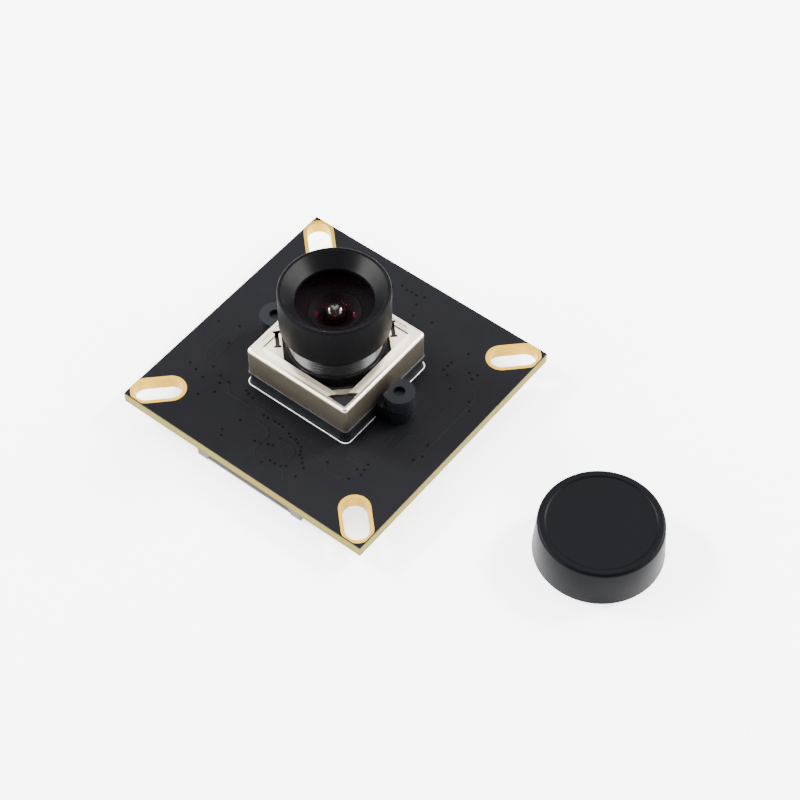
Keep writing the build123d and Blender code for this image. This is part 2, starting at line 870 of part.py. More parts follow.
def chip(x, y, length, width, height):
    """A moulded chip on the underside."""
    with BuildPart() as body:
        with BuildSketch(Plane.XY.offset(board_bottom - height)):
            with Locations((x, y)):
                Rectangle(length, width)
        extrude(amount=height)
    return body


processor_chip = chip(0, processor_y, processor_side, processor_side, processor_height)
save(processor_chip, "processor_chip")

memory_chip = chip(memory_x, memory_y, memory_length, memory_width, memory_height)
save(memory_chip, "memory_chip")

motor_driver = chip(driver_x, driver_y, driver_side, driver_side, driver_height)
save(motor_driver, "motor_driver")

# Crystal: a metal lid on a slightly larger rim
with BuildPart() as crystal:
    with BuildSketch(Plane.XY.offset(board_bottom - crystal_rim_height)):
        with Locations((crystal_x, crystal_y)):
            Rectangle(crystal_length, crystal_width)
    extrude(amount=crystal_rim_height)
    with BuildSketch(Plane.XY.offset(board_bottom - crystal_height)):
        with Locations((crystal_x, crystal_y)):
            RectangleRounded(crystal_length - 2 * crystal_rim, crystal_width - 2 * crystal_rim, crystal_rim)
    extrude(amount=crystal_height - crystal_rim_height)
save(crystal, "crystal")

# Inductors: ferrite blocks with cut corners
with BuildPart() as inductors:
    with BuildSketch(Plane.XY.offset(floor_level)):
        with Locations((0, power_y)):
            with GridLocations(inductor_spacing, inductor_width, 2, 1):
                Rectangle(inductor_width, inductor_width)
        chamfer(vertices(), length=inductor_corner)
    extrude(amount=underside_height)
save(inductors, "inductors")

# Inductor terminals: plates up two sides of each block
with BuildPart() as inductor_terminals:
    with BuildSketch(Plane.XY.offset(board_bottom - inductor_terminal_height)):
        with Locations((0, power_y)):
            with GridLocations(inductor_spacing, inductor_width, 2, 1):
                with GridLocations(inductor_width + inductor_terminal_sheet, inductor_width, 2, 1):
                    Rectangle(inductor_terminal_sheet, inductor_terminal_width)
    extrude(amount=inductor_terminal_height)
save(inductor_terminals, "inductor_terminals")

# Regulators: small moulded bodies held off the board by their leads
regulator_bottom = board_bottom - regulator_lift - regulator_height
with BuildPart() as regulators:
    with BuildSketch(Plane.XY.offset(regulator_bottom)):
        with Locations((0, power_y)):
            with GridLocations(regulator_spacing, regulator_width, 2, 1):
                Rectangle(regulator_length, regulator_width)
    extrude(amount=regulator_height)
save(regulators, "regulators")

# Regulator leads: a gull-wing lead, three on one side of each body and two on the other
with BuildPart() as lead:
    with BuildSketch(Plane.YZ):
        with BuildLine():
            lead_start = regulator_width / 2
            Polyline(
                (lead_start, board_bottom - lead_rise),
                (lead_start, board_bottom - lead_rise - lead_sheet),
                (lead_start + lead_reach - lead_foot + lead_sheet, board_bottom - lead_rise - lead_sheet),
                (lead_start + lead_reach - lead_foot + lead_sheet, board_bottom - lead_sheet),
                (lead_start + lead_reach, board_bottom - lead_sheet),
                (lead_start + lead_reach, board_bottom),
                (lead_start + lead_reach - lead_foot, board_bottom),
                (lead_start + lead_reach - lead_foot, board_bottom - lead_rise),
                close=True,
            )
        make_face()
    extrude(amount=lead_width / 2, both=True)

with BuildPart() as regulator_leads:
    with Locations((0, power_y, 0)):
        with GridLocations(regulator_spacing, regulator_width, 2, 1):
            with GridLocations(lead_pitch, regulator_width, 3, 1):
                add(lead.part)
            with GridLocations(2 * lead_pitch, regulator_width, 2, 1):
                add(lead.part.rotate(Axis.Z, 180))
save(regulator_leads, "regulator_leads")

# Places of the small parts: columns beside the processor, a row above it and a row before the regulators
column_x = processor_side / 2 + column_gap + capacitor_length / 2
near_row_y = processor_y + processor_side / 2 + near_row_gap + capacitor_length / 2
lying_capacitors = [
    Location((side * column_x, processor_y + (place - (column_count - 1) / 2) * chip_pitch))
    for side in (-1, 1)
    for place in range(column_count)
]
standing_capacitors = [
    Location(((place - (count - 1) / 2) * chip_pitch, row_y), 90)
    for count, row_y in ((near_row_count, near_row_y), (far_row_count, far_row_y))
    for place in range(count)
]
capacitor_places = lying_capacitors + standing_capacitors
resistor_places = [
    Location(((place - (resistor_row_count - 1) / 2) * chip_pitch, resistor_row_y), 90)
    for place in range(resistor_row_count)
]

with BuildPart() as capacitors:
    with BuildSketch(Plane.XY.offset(board_bottom - capacitor_width)):
        with Locations(*capacitor_places):
            Rectangle(capacitor_length - 2 * chip_end, capacitor_width)
    extrude(amount=capacitor_width)
save(capacitors, "capacitors")

with BuildPart() as resistors:
    with BuildSketch(Plane.XY.offset(board_bottom - resistor_height)):
        with Locations(*resistor_places):
            Rectangle(resistor_length - 2 * chip_end, resistor_width)
    extrude(amount=resistor_height)
save(resistors, "resistors")

# Metal ends of the capacitors and resistors
with BuildPart() as chip_ends:
    with BuildSketch(Plane.XY.offset(board_bottom - capacitor_width)):
        with Locations(*capacitor_places):
            with GridLocations(capacitor_length - chip_end, capacitor_width, 2, 1):
                Rectangle(chip_end, capacitor_width)
    extrude(amount=capacitor_width)
    with BuildSketch(Plane.XY.offset(board_bottom - resistor_height)):
        with Locations(*resistor_places):
            with GridLocations(resistor_length - chip_end, resistor_width, 2, 1):
                Rectangle(chip_end, resistor_width)
    extrude(amount=resistor_height)
save(chip_ends, "chip_ends")

# Lens cap: a drafted cup with an eased edge and a shallow dish inside a raised band
cap_bore = head_radius + cap_fit
cap_mouth_radius = cap_bore + cap_wall
cap_top_radius = cap_mouth_radius - cap_draft
cap_top = floor_level + cap_height
with BuildPart() as lens_cap:
    with BuildSketch(Plane.XZ):
        with BuildLine():
            Polyline(
                (cap_bore, floor_level),
                (cap_mouth_radius, floor_level),
                (cap_top_radius, cap_top),
                (cap_top_radius - cap_band, cap_top),
                (cap_top_radius - cap_band, cap_top - cap_dish_depth),
                (0, cap_top - cap_dish_depth),
                (0, cap_top - cap_roof),
                (cap_bore, cap_top - cap_roof),
                close=True,
            )
        make_face()
        outer_corner = vertices().group_by(Axis.Y)[-1].sort_by(Axis.X)[-1]
        chamfer(outer_corner, length=cap_edge_chamfer)
    revolve(axis=Axis.Z)

with BuildPart() as placed_cap:
    with Locations((cap_x, cap_y, 0)):
        add(lens_cap.part)
save(placed_cap, "lens_cap")
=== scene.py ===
"""Dresses the camera module: finishes, lens thread, printed and etched detail of the board, and the stage.

Lengths are in metres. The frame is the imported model's: the origin is the middle of the board's upper face,
+Z is the optical axis and the cable connector opens towards -Y.
"""

import random
from math import acos, asin, cos, degrees, hypot, pi, radians, sin

import bmesh
import bpy
from bpy.props import FloatProperty, FloatVectorProperty, PointerProperty
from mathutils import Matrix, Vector


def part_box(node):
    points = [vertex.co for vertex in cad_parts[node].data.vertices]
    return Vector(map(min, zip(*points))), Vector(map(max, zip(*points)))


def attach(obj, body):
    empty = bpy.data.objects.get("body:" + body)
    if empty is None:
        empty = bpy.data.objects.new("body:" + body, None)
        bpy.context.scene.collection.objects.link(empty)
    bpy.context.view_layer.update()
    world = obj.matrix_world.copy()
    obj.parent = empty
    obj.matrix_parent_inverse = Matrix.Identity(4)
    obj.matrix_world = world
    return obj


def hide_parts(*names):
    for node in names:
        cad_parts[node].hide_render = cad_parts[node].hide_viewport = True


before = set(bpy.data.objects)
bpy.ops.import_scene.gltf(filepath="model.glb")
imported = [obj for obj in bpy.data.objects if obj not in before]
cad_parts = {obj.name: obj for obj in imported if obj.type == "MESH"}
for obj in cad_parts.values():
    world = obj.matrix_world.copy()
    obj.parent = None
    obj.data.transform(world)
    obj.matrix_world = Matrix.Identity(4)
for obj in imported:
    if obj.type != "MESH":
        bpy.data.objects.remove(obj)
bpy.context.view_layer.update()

bl_info = {
    "name": "Camera Module Dressing",
    "version": (1, 0, 0),
    "blender": (4, 5, 0),
    "location": "3D View > Sidebar > Camera Module",
    "description": "Finishes and fine detail for an autofocus camera module and its lens cap",
    "category": "Object",
}

MM = 0.001

BOARD_TOP = 0.0
BOARD_BOTTOM = -1.6 * MM
BARREL_BOTTOM, BARREL_TOP = (corner.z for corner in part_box("lens_barrel"))
FLOOR, CAP_TOP = (corner.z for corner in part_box("lens_cap"))
CAP_MIDDLE = sum(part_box("lens_cap"), Vector()) / 2

# Radius of the pinhole left in the middle of a turned face
PINHOLE = 0.01 * MM
# The values between which a noise pattern mostly stays
NOISE_SPAN = {"From Min": 0.3, "From Max": 0.7}
# Width of one band of a wave pattern whose scale is 1
WAVE_BAND = 0.314


def linear(hex_colour):
    """Turn an sRGB hex colour into the linear values that the shaders take."""
    values = [int(hex_colour[place : place + 2], 16) / 255 for place in (1, 3, 5)]
    return [v / 12.92 if v <= 0.04045 else ((v + 0.055) / 1.055) ** 2.4 for v in values] + [1.0]


def colour(name, description, hex_colour):
    """A colour that the user can change."""
    return FloatVectorProperty(
        name=name, description=description, default=linear(hex_colour), size=4, min=0, max=1, subtype="COLOR"
    )


def length(name, description, millimetres):
    """A length that the user can change."""
    return FloatProperty(
        name=name, description=description, default=millimetres * MM, min=0, precision=6, unit="LENGTH"
    )


class CameraModuleSizes(bpy.types.PropertyGroup):
    """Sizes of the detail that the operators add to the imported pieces."""

    thread_pitch: length("Thread pitch", "Rise of the lens thread in one turn", 0.5)
    thread_depth: length("Thread depth", "From the crest of the lens thread to its root", 0.27)
    rim_rounding: length("Rim rounding", "Radius of the barrel's outer front edge", 0.3)
    cap_rounding: length("Cap rounding", "Radius of the cap's outer top edge", 0.45)
    cap_band: length("Cap band", "Width of the raised band around the cap's dish", 1.0)
    cap_dish: length("Cap dish", "Depth of the cap's dish", 0.12)
    ink_width: length("Ink width", "Width of the printed outline around the holder", 0.12)
    ink_height: length("Ink height", "Thickness of the printed outline", 0.02)
    ink_distance: length("Ink distance", "From the board's middle to the middle of the printed outline", 8.14)
    track_width: length("Track width", "Width of the narrow copper tracks under the solder mask", 0.25)
    track_height: length("Track height", "How far a masked track stands above the board", 0.018)
    via_diameter: length("Via diameter", "Outer diameter of a masked via", 0.36)
    solder_spread: length("Solder spread", "How far solder runs out around a soldered end", 0.14)


class CameraModuleColours(bpy.types.PropertyGroup):
    """Colours of the module's finishes."""

    mask: colour("Solder mask", "Black solder mask on both faces of the board", "#0C0C0F")
    laminate: colour("Laminate", "Resin of the laminate, on its routed edge", "#5C5220")
    gold: colour("Gold", "Gold plating of the slots", "#C49C36")
    ink: colour("Ink", "White printed outline", "#E6E6E2")
    holder: colour("Holder", "Moulded base under the motor", "#101215")
    can: colour("Can", "Drawn nickel silver of the motor's can", "#E4D9C4")
    barrel: colour("Barrel", "Black anodising of the lens barrel and its rings", "#09090A")
    carrier: colour("Carrier", "Moulded lens carrier and spring frame", "#0C0C0D")
    cap: colour("Cap", "Moulded lens cap", "#060609")
    housing: colour("Connector", "Moulded connector housing", "#343436")
    latch: colour("Latch", "Moulded connector latch", "#16181F")


def add_node(material, kind, inputs=None, **settings):
    """Add a shader node. An input is a value, a socket, or a node that gives its first live output."""
    node = material.node_tree.nodes.new("ShaderNode" + kind)
    for name, value in settings.items():
        setattr(node, name, value)
    for name, value in (inputs or {}).items():
        if isinstance(value, bpy.types.Node):
            value = next(socket for socket in value.outputs if socket.enabled)
        if isinstance(value, bpy.types.NodeSocket):
            material.node_tree.links.new(value, node.inputs[name])
        else:
            node.inputs[name].default_value = value
    return node


def start_material(name):
    """A new material, and the socket with the coordinates for its patterns."""
    material = bpy.data.materials.new(name)
    material.use_nodes = True
    material.node_tree.nodes.clear()
    return material, add_node(material, "TexCoord").outputs["Object"]


def close_material(material, bumps, **sockets):
    """Give a material its bumps, each over the one before, its shader and its output.

    A bump is a height and its depth in mm. A socket's name has an underscore for each space.
    """
    values = {key.replace("_", " "): value for key, value in sockets.items()}
    for height, depth in bumps:
        below = {"Normal": values["Normal"]} if "Normal" in values else {}
        values["Normal"] = add_node(material, "Bump", {"Height": height, "Distance": depth * MM, **below})
    add_node(material, "OutputMaterial", {"Surface": add_node(material, "BsdfPrincipled", values)})
    return material


def grained_finish(name, main, shade, grain, relief, gloss, **fixed):
    """A surface whose grain moves its colour towards a shade, its roughness between two values and its height.

    grain is the size of the grain and relief its depth, both in mm.
    """
    material, place = start_material(name)
    main = linear(main) if isinstance(main, str) else main
    noise = add_node(material, "TexNoise", {"Vector": place, "Scale": 1 / (grain * MM), "Detail": 4.0})
    tones = add_node(material, "Mix", {"Factor": noise, "A": main, "B": linear(shade)}, data_type="RGBA")
    low, high = gloss
    rough = add_node(material, "MapRange", {"Value": noise, **NOISE_SPAN, "To Min": low, "To Max": high})
    bumps = [(noise, relief)] if relief else []
    return close_material(material, bumps, Base_Color=tones, Roughness=rough, **fixed)


def levelness(material):
    """How squarely a surface faces up or down, from 0 on a wall to 1 on a level face."""
    surface = add_node(material, "NewGeometry")
    normal = add_node(material, "SeparateXYZ", {"Vector": surface.outputs["Normal"]})
    return add_node(material, "Math", {0: normal.outputs["Z"]}, operation="ABSOLUTE")


def solder_mask(colours):
    """Screen-printed epoxy mask over glass-fibre laminate, cut out with a router.

    The faces are nearly matt, with a fine grain from the matting agent and broad waves from the weave below.
    The routed edges show the plies: light glass between darker resin, with the black mask as a thin line.
    """
    material, place = start_material("Solder mask on laminate")
    edge = add_node(material, "Math", {0: levelness(material), 1: 0.5}, operation="LESS_THAN")
    # Matting grain, really about 0.02 mm, is drawn at 0.1 mm so that it shows
    grain = add_node(material, "TexNoise", {"Vector": place, "Scale": 1 / (0.1 * MM), "Detail": 4.0})
    # Broad waves of the weave and the copper below, about 3 mm
    waves = add_node(material, "TexNoise", {"Vector": place, "Scale": 1 / (3 * MM), "Detail": 2.0})
    # Eight plies of 0.2 mm through the thickness, a little uneven
    height = add_node(material, "SeparateXYZ", {"Vector": place}).outputs["Z"]
    frayed = add_node(material, "TexNoise", {"Vector": place, "Scale": 1 / (0.5 * MM), "Detail": 3.0})
    uneven = add_node(material, "MapRange", {"Value": frayed, "To Min": -0.09 * MM, "To Max": 0.09 * MM})
    shifted = add_node(material, "Math", {0: height, 1: uneven}, operation="ADD")
    plies = add_node(material, "MapRange", {"Value": shifted, "From Min": BOARD_BOTTOM, "From Max": BOARD_TOP})
    stripes = add_node(material, "ValToRGB", {"Fac": plies})
    ramp = stripes.color_ramp.elements
    for position, tone in (
        (0.1, None), (0.2, "#857833"), (0.34, None), (0.47, "#8B7E38"),
        (0.6, None), (0.72, "#857833"), (0.86, None), (0.95, "#2E2A14"),
    ):
        ramp.new(position).color = linear(tone) if tone else colours.laminate[:]
    ramp[0].color = linear("#2E2A14")
    ramp[-1].color = linear("#141410")
    sheen = add_node(
        material, "Mix", {"Factor": waves, "A": colours.mask[:], "B": linear("#0F0F12")}, data_type="RGBA"
    )
    paint = add_node(material, "Mix", {"Factor": edge, "A": sheen, "B": stripes}, data_type="RGBA")
    rough = add_node(material, "MapRange", {"Value": grain, **NOISE_SPAN, "To Min": 0.40, "To Max": 0.52})
    bumps = [(grain, 0.004), (waves, 0.012)]
    return close_material(material, bumps, Base_Color=paint, Roughness=rough, Specular_IOR_Level=0.045)


def drawn_can(colours):
    """Nickel silver sheet, rolled and then deep drawn.

    Rolling leaves hair lines along Y, drawn at 0.05 mm, so the top is satin. The die burnishes the walls a
    little;
    the walls' colour is painted darker than the top as painted shade, and the bends catch bright lines.
    """
    material, place = start_material("Nickel silver, deep drawn")
    rolled = add_node(material, "Mapping", {"Vector": place, "Scale": (20, 1, 20)})
    lines = add_node(material, "TexNoise", {"Vector": rolled, "Scale": 1 / (1.0 * MM), "Detail": 4.0})
    soft = add_node(material, "TexNoise", {"Vector": place, "Scale": 1 / (2.5 * MM), "Detail": 2.0})
    tones = add_node(
        material, "Mix", {"Factor": soft, "A": colours.can[:], "B": linear("#D8CBB4")}, data_type="RGBA"
    )
    rough = add_node(material, "MapRange", {"Value": lines, **NOISE_SPAN, "To Min": 0.30, "To Max": 0.38})
    level = levelness(material)
    burnish, wall = (
        add_node(material, "MapRange", {
            "Value": level, "From Min": 0.2, "From Max": 0.8, "To Min": on_wall, "To Max": on_top,
        })
        for on_wall, on_top in ((0.93, 1.0), (1.0, 0.0))
    )
    gloss = add_node(material, "Math", {0: rough, 1: burnish}, operation="MULTIPLY")
    # Painted shade: the walls are coloured darker than the top, mixed in by how upright the surface stands
    film = add_node(material, "Mix", {"Factor": wall, "A": tones, "B": linear("#B4AA98")}, data_type="RGBA")
    bumps = [(lines, 0.00004), (soft, 0.01)]
    return close_material(material, bumps, Base_Color=film, Roughness=gloss, Metallic=1.0)


def turned_aluminium(name, colours, polish_below, matt, matt_shine):
    """Aluminium, turned, then bead blasted above a height and anodised black.

    The blasted part is matt with a fine grain; below it the cutter's polish is left, so the thread shines.
    """
    material, place = start_material(name)
    # Rings of the cutting tool, really about 0.05 mm apart, are drawn at 0.12 mm
    rings = add_node(
        material, "TexWave",
        {"Vector": place, "Scale": WAVE_BAND / (0.12 * MM), "Distortion": 1.5, "Detail": 2.0},
        wave_type="BANDS", bands_direction="Z",
    ).outputs["Fac"]
    grain = add_node(material, "TexNoise", {"Vector": place, "Scale": 1 / (0.08 * MM), "Detail": 4.0})
    height = add_node(material, "SeparateXYZ", {"Vector": place}).outputs["Z"]
    masked, shine = (
        add_node(material, "MapRange", {
            "Value": height, "From Min": polish_below - 0.15 * MM, "From Max": polish_below,
            "To Min": polished, "To Max": blasted,
        })
        for polished, blasted in ((0.245, matt), (0.5, matt_shine))
    )
    rough = add_node(material, "Math", {0: grain, 1: 0.12, 2: masked}, operation="MULTIPLY_ADD")
    tones = add_node(
        material, "Mix", {"Factor": grain, "A": colours.barrel[:], "B": linear("#0C0C0E")}, data_type="RGBA"
    )
    bumps = [(rings, 0.0006), (grain, 0.004)]
    return close_material(material, bumps, Base_Color=tones, Roughness=rough, Specular_IOR_Level=shine)


def coated_glass(name, body, reflected, ior=1.52, **fixed):
    """Polished optical glass with evaporated films, which leave a faint reflection of one colour.

    The reflected colour is dark as well as tinted, since the films take most of the glass's own shine. A glass
    that is seen from outside is drawn thin, by its alpha, with the colour of the dark barrel behind it.
    """
    material, place = start_material(name)
    # Films of fine dust, in patches of about 0.6 mm, dull the polish a little
    dust = add_node(material, "TexNoise", {"Vector": place, "Scale": 1 / (0.6 * MM), "Detail": 3.0})
    rough = add_node(
        material, "MapRange", {"Value": dust, "From Min": 0.4, "From Max": 0.8, "To Min": 0.12, "To Max": 0.14}
    )
    return close_material(
        material, [], Base_Color=linear(body), Roughness=rough, IOR=ior, Specular_Tint=linear(reflected), **fixed
    )


def wound_wire():
    """Enamelled copper wire, wound in layers: turns of 0.05 mm are drawn at 0.1 mm so that they show."""
    material, place = start_material("Enamelled copper wire")
    turns = add_node(
        material, "TexWave", {"Vector": place, "Scale": WAVE_BAND / (0.1 * MM), "Distortion": 0.6},
        wave_type="BANDS", bands_direction="Z",
    ).outputs["Fac"]
    # The turns' colour is painted dark in the grooves between them as painted shade and light on their crests as
    # painted highlight
    tones = add_node(
        material, "Mix", {"Factor": turns, "A": linear("#6B2F14"), "B": linear("#C06A34")}, data_type="RGBA"
    )
    return close_material(material, [(turns, 0.02)], Base_Color=tones, Roughness=0.3, Metallic=1.0)


def ferrite_drum():
    """Pressed ferrite powder: dull grey, pitted, with the round seam of the drum about each block's middle."""
    low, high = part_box("inductors")
    apart = (high.x - low.x) / 2 - (high.y - low.y) / 2
    material, place = start_material("Pressed ferrite")
    split = add_node(material, "SeparateXYZ", {"Vector": place})
    mirrored = add_node(material, "Math", {0: split.outputs["X"]}, operation="ABSOLUTE")
    flat = add_node(material, "CombineXYZ", {"X": mirrored, "Y": split.outputs["Y"], "Z": 0.0})
    reach = add_node(
        material, "VectorMath", {0: flat, 1: (apart, (low.y + high.y) / 2, 0)}, operation="DISTANCE"
    )
    seam = add_node(material, "MapRange", {"Value": reach, "From Min": 1.4 * MM, "From Max": 1.7 * MM})
    ring = add_node(material, "ValToRGB", {"Fac": seam})
    ramp = ring.color_ramp.elements
    ramp[0].position, ramp[1].position = 0.2, 0.8
    ramp[0].color = (1, 1, 1, 1)
    ramp.new(0.5).color = (0, 0, 0, 1)
    pits = add_node(material, "TexNoise", {"Vector": place, "Scale": 1 / (0.12 * MM), "Detail": 4.0})
    tones = add_node(
        material, "Mix", {"Factor": pits, "A": linear("#1C1C1E"), "B": linear("#2C2C2E")}, data_type="RGBA"
    )
    return close_material(material, [(ring, 0.15), (pits, 0.012)], Base_Color=tones, Roughness=0.7)


def finish_nodes(material, *nodes):
    """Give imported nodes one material."""
    for node in nodes:
        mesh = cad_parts[node].data
        mesh.materials.clear()
        mesh.materials.append(material)


def ease_edges(node, width):
    """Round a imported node's sharp edges a little, so that they catch the light; the width is in mm."""
    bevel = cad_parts[node].modifiers.new("Eased edges", "BEVEL")
    bevel.width = width * MM
    bevel.segments = 2
    bevel.limit_method = "ANGLE"
    bevel.angle_limit = radians(35)
    bevel.harden_normals = True


def add_object(name, data):
    """A new object in the scene."""
    thing = bpy.data.objects.new(name, data)
    bpy.context.scene.collection.objects.link(thing)
    return thing


def new_piece(name, shape, material, body, smooth=40):
    """Turn a bmesh into a piece of the scene that rides on a body."""
    mesh = bpy.data.meshes.new(name)
    bmesh.ops.recalc_face_normals(shape, faces=shape.faces)
    shape.to_mesh(mesh)
    shape.free()
    mesh.polygons.foreach_set("use_smooth", [True] * len(mesh.polygons))
    mesh.set_sharp_from_angle(angle=radians(smooth))
    mesh.materials.append(material)
    piece = add_object(name, mesh)
    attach(piece, body)
    return piece


def blacken(piece, lacquer, chosen):
    """Give the faces of a piece that a test picks a coat of lacquer."""
    piece.data.materials.append(lacquer)
    for face in piece.data.polygons:
        if chosen(face):
            face.material_index = 1


def join_rings(shape, rings):
    """Join each ring of points to the next with a band of four-sided faces."""
    for lower, upper in zip(rings, rings[1:]):
        for step in range(len(lower)):
            after = (step + 1) % len(lower)
            shape.faces.new((lower[step], lower[after], upper[after], upper[step]))


def add_turning(shape, outline, segments, middle=(0, 0), cut=None):
    """Add a closed outline of (radius, height) points, turned about an upright axis through the middle.

    cut gives the radius again from the radius, the height and the angle, for a thread.
    """
    rings = []
    for radius, height in outline:
        ring = []
        for step in range(segments):
            angle = 2 * pi * step / segments
            reach = cut(radius, height, angle) if cut else radius
            ring.append(shape.verts.new((middle[0] + reach * cos(angle), middle[1] + reach * sin(angle), height)))
        rings.append(ring)
    join_rings(shape, rings + rings[:1])


def bend(centre, radius, start, stop, steps=6):
    """Points along an arc in the plane of an outline, from one angle to another in degrees."""
    angles = [radians(start + (stop - start) * step / steps) for step in range(steps + 1)]
    return [(centre[0] + radius * cos(angle), centre[1] + radius * sin(angle)) for angle in angles]


def add_ribbon(shape, points, width, foot, top, slope=0.0):
    """Add a raised strip along flat points, from its foot to its top in height, its sides drawn in by slope."""
    rows = []
    for place, point in enumerate(points):
        before = Vector(points[max(place - 1, 0)])
        after = Vector(points[min(place + 1, len(points) - 1)])
        here = Vector(point)
        into = (here - before).normalized() if place else (after - here).normalized()
        out = (after - here).normalized() if place < len(points) - 1 else into
        across = Vector((-(into + out).y, (into + out).x)).normalized()
        # A corner is mitred so that the strip keeps its width, a sharp one only so far
        mitre = 1 / max(across.dot(Vector((-into.y, into.x))), 0.4)
        row = []
        for side, height in ((-1, foot), (-1, top), (1, top), (1, foot)):
            half = (width / 2 - (slope if height == top else 0)) * mitre
            spot = here + across * side * half
            row.append(shape.verts.new((spot.x, spot.y, height)))
        rows.append(row)
    join_rings(shape, rows)
    shape.faces.new(rows[0])
    shape.faces.new(rows[-1][::-1])


def add_skirt(shape, low, high, foot, top, spread):
    """Add a skirt of solder around a box: spread wide on the board and drawn in where it wets the metal."""
    rings = []
    for level, reach in ((0.0, 1.0), (0.3, 0.45), (0.65, 0.15), (1.0, 0.0)):
        grow = spread * reach
        height = foot + (top - foot) * level
        corners = (
            (low.x - grow, low.y - grow), (high.x + grow, low.y - grow),
            (high.x + grow, high.y + grow), (low.x - grow, high.y + grow),
        )
        rings.append([shape.verts.new((x, y, height)) for x, y in corners])
    join_rings(shape, rings)
    shape.faces.new(rings[0])
    shape.faces.new(rings[-1])


def add_via(shape, x, y, face, out, diameter, height):
    """Add one masked via: a low ring with a dimple, standing out of a face of the board."""
    angles = [2 * pi * step / 14 for step in range(14)]
    rings = []
    for share, rise in ((0.5, 0.0), (0.36, 1.0), (0.2, 0.75), (0.08, 0.05)):
        reach, level = share * diameter, face + out * rise * height
        rings.append([shape.verts.new((x + reach * cos(a), y + reach * sin(a), level)) for a in angles])
    join_rings(shape, rings)
    shape.faces.new(rings[-1])


def solid_boxes(node):
    """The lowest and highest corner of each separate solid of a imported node."""
    shape = bmesh.new()
    shape.from_mesh(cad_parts[node].data)
    bmesh.ops.remove_doubles(shape, verts=shape.verts, dist=0.001 * MM)
    seen = set()
    boxes = []
    for start in shape.verts:
        if start in seen:
            continue
        seen.add(start)
        heap, found = [start], []
        while heap:
            vertex = heap.pop()
            found.append(vertex.co.copy())
            for edge in vertex.link_edges:
                other = edge.other_vert(vertex)
                if other not in seen:
                    seen.add(other)
                    heap.append(other)
        boxes.append([Vector([pick(spot[axis] for spot in found) for axis in range(3)]) for pick in (min, max)])
    shape.free()
    return boxes


# Copper tracks under the mask of the upper face, as corner points in mm
UPPER_TRACKS = [
    [(-15.4, 12.6), (-15.4, -7.4), (-14.6, -8.2), (-14.6, -9.4)],
    [(-13.7, 10.4), (-13.7, -7.4), (-13.1, -8.0), (-13.1, -9.0)],
    [(-12.0, -9.8), (-9.6, -9.8), (-8.6, -10.8), (-5.2, -10.8)],
    [(-4.6, -10.2), (-2.2, -10.2), (-1.4, -11.0), (1.0, -11.0), (1.8, -10.2), (4.6, -10.2)],
    [(-3.6, -12.0), (-1.4, -12.0), (-0.4, -13.0), (-0.4, -15.6), (1.2, -17.2)],
    [(0.8, -12.4), (3.2, -12.4), (3.9, -13.1), (3.9, -15.4), (5.6, -17.1)],
    [(5.2, -11.6), (7.6, -11.6), (8.6, -12.6), (10.9, -12.6)],
    [(9.4, -9.6), (11.8, -9.6), (13.0, -8.4), (13.0, -2.2), (14.2, -1.0), (14.2, 4.4)],
    [(10.6, -6.8), (11.6, -6.8), (11.6, -3.4)],
    [(11.2, 8.4), (15.2, 8.4), (16.2, 7.4), (16.2, -6.2)],
    [(-5.6, 12.2), (-3.6, 14.2), (2.4, 14.2), (4.4, 16.2), (8.8, 16.2)],
    [(-1.2, 10.8), (0.6, 12.6), (6.2, 12.6)],
]

# Copper tracks of the underside in mm: the connector's lanes, then the runs between the chips
LOWER_TRACKS = [
    [(-5.2 + 0.5 * lane, -12.8), (-5.2 + 0.5 * lane, -11.4), (-3.4 + 0.36 * lane, -8.4)] for lane in range(20)
] + [
    [(-9.4, -5.4), (-8.2, -5.4), (-7.4, -4.6), (-7.0, -4.6)], [(-9.4, -6.2), (-8.0, -6.2), (-7.0, -5.2)],
    [(-9.5, 10.2), (-9.5, 8.6), (-8.4, 7.5), (-8.4, 1.6), (-4.4, -1.2)],
    [(9.5, 10.2), (9.5, 8.9), (8.6, 8.0), (8.6, 1.8), (4.4, -1.0)],
    [(-14.8, 12.5), (-14.8, 2.0), (-12.6, -0.2), (-12.6, -4.2)],
    [(14.8, 12.5), (14.8, 1.0), (12.9, -0.9), (12.9, -3.8)],
    [(-17.2, 8.0), (-17.2, -8.0)], [(17.2, 8.0), (17.2, -8.0)],
]

# Masked vias of the upper face: rows by their first place, step and number, in mm
UPPER_VIA_ROWS = [
    ((-2.9, -10.75), (0.62, 0.02), 6), ((1.4, -11.2), (0.58, -0.1), 5), ((4.1, -12.2), (0.5, -0.45), 5),
    ((-7.2, -9.1), (0.7, -0.25), 3), ((-1.2, -14.6), (0.75, 0.3), 4), ((2.2, -15.8), (0.7, 0.2), 4),
    ((-15.6, -10.2), (1.3, -0.4), 3), ((10.2, 10.4), (0.0, -0.8), 3), ((12.2, -10.6), (0.0, 0.9), 3),
    ((-2.6, 16.4), (0.9, 0.0), 4),
]
UPPER_VIAS, LOWER_VIAS = 84, 60
# How far a via strays from its row, and how far from the middle it may lie, clear of the slots, in mm
VIA_STRAY, VIA_REACH = 0.16, 17.8
# Nodes under the board that leave no room for a via
LOWER_PARTS = (
    "processor_chip", "memory_chip", "crystal", "inductors", "regulators",
    "capacitors", "resistors", "cable_connector", "holder_screws", "motor_driver",
)


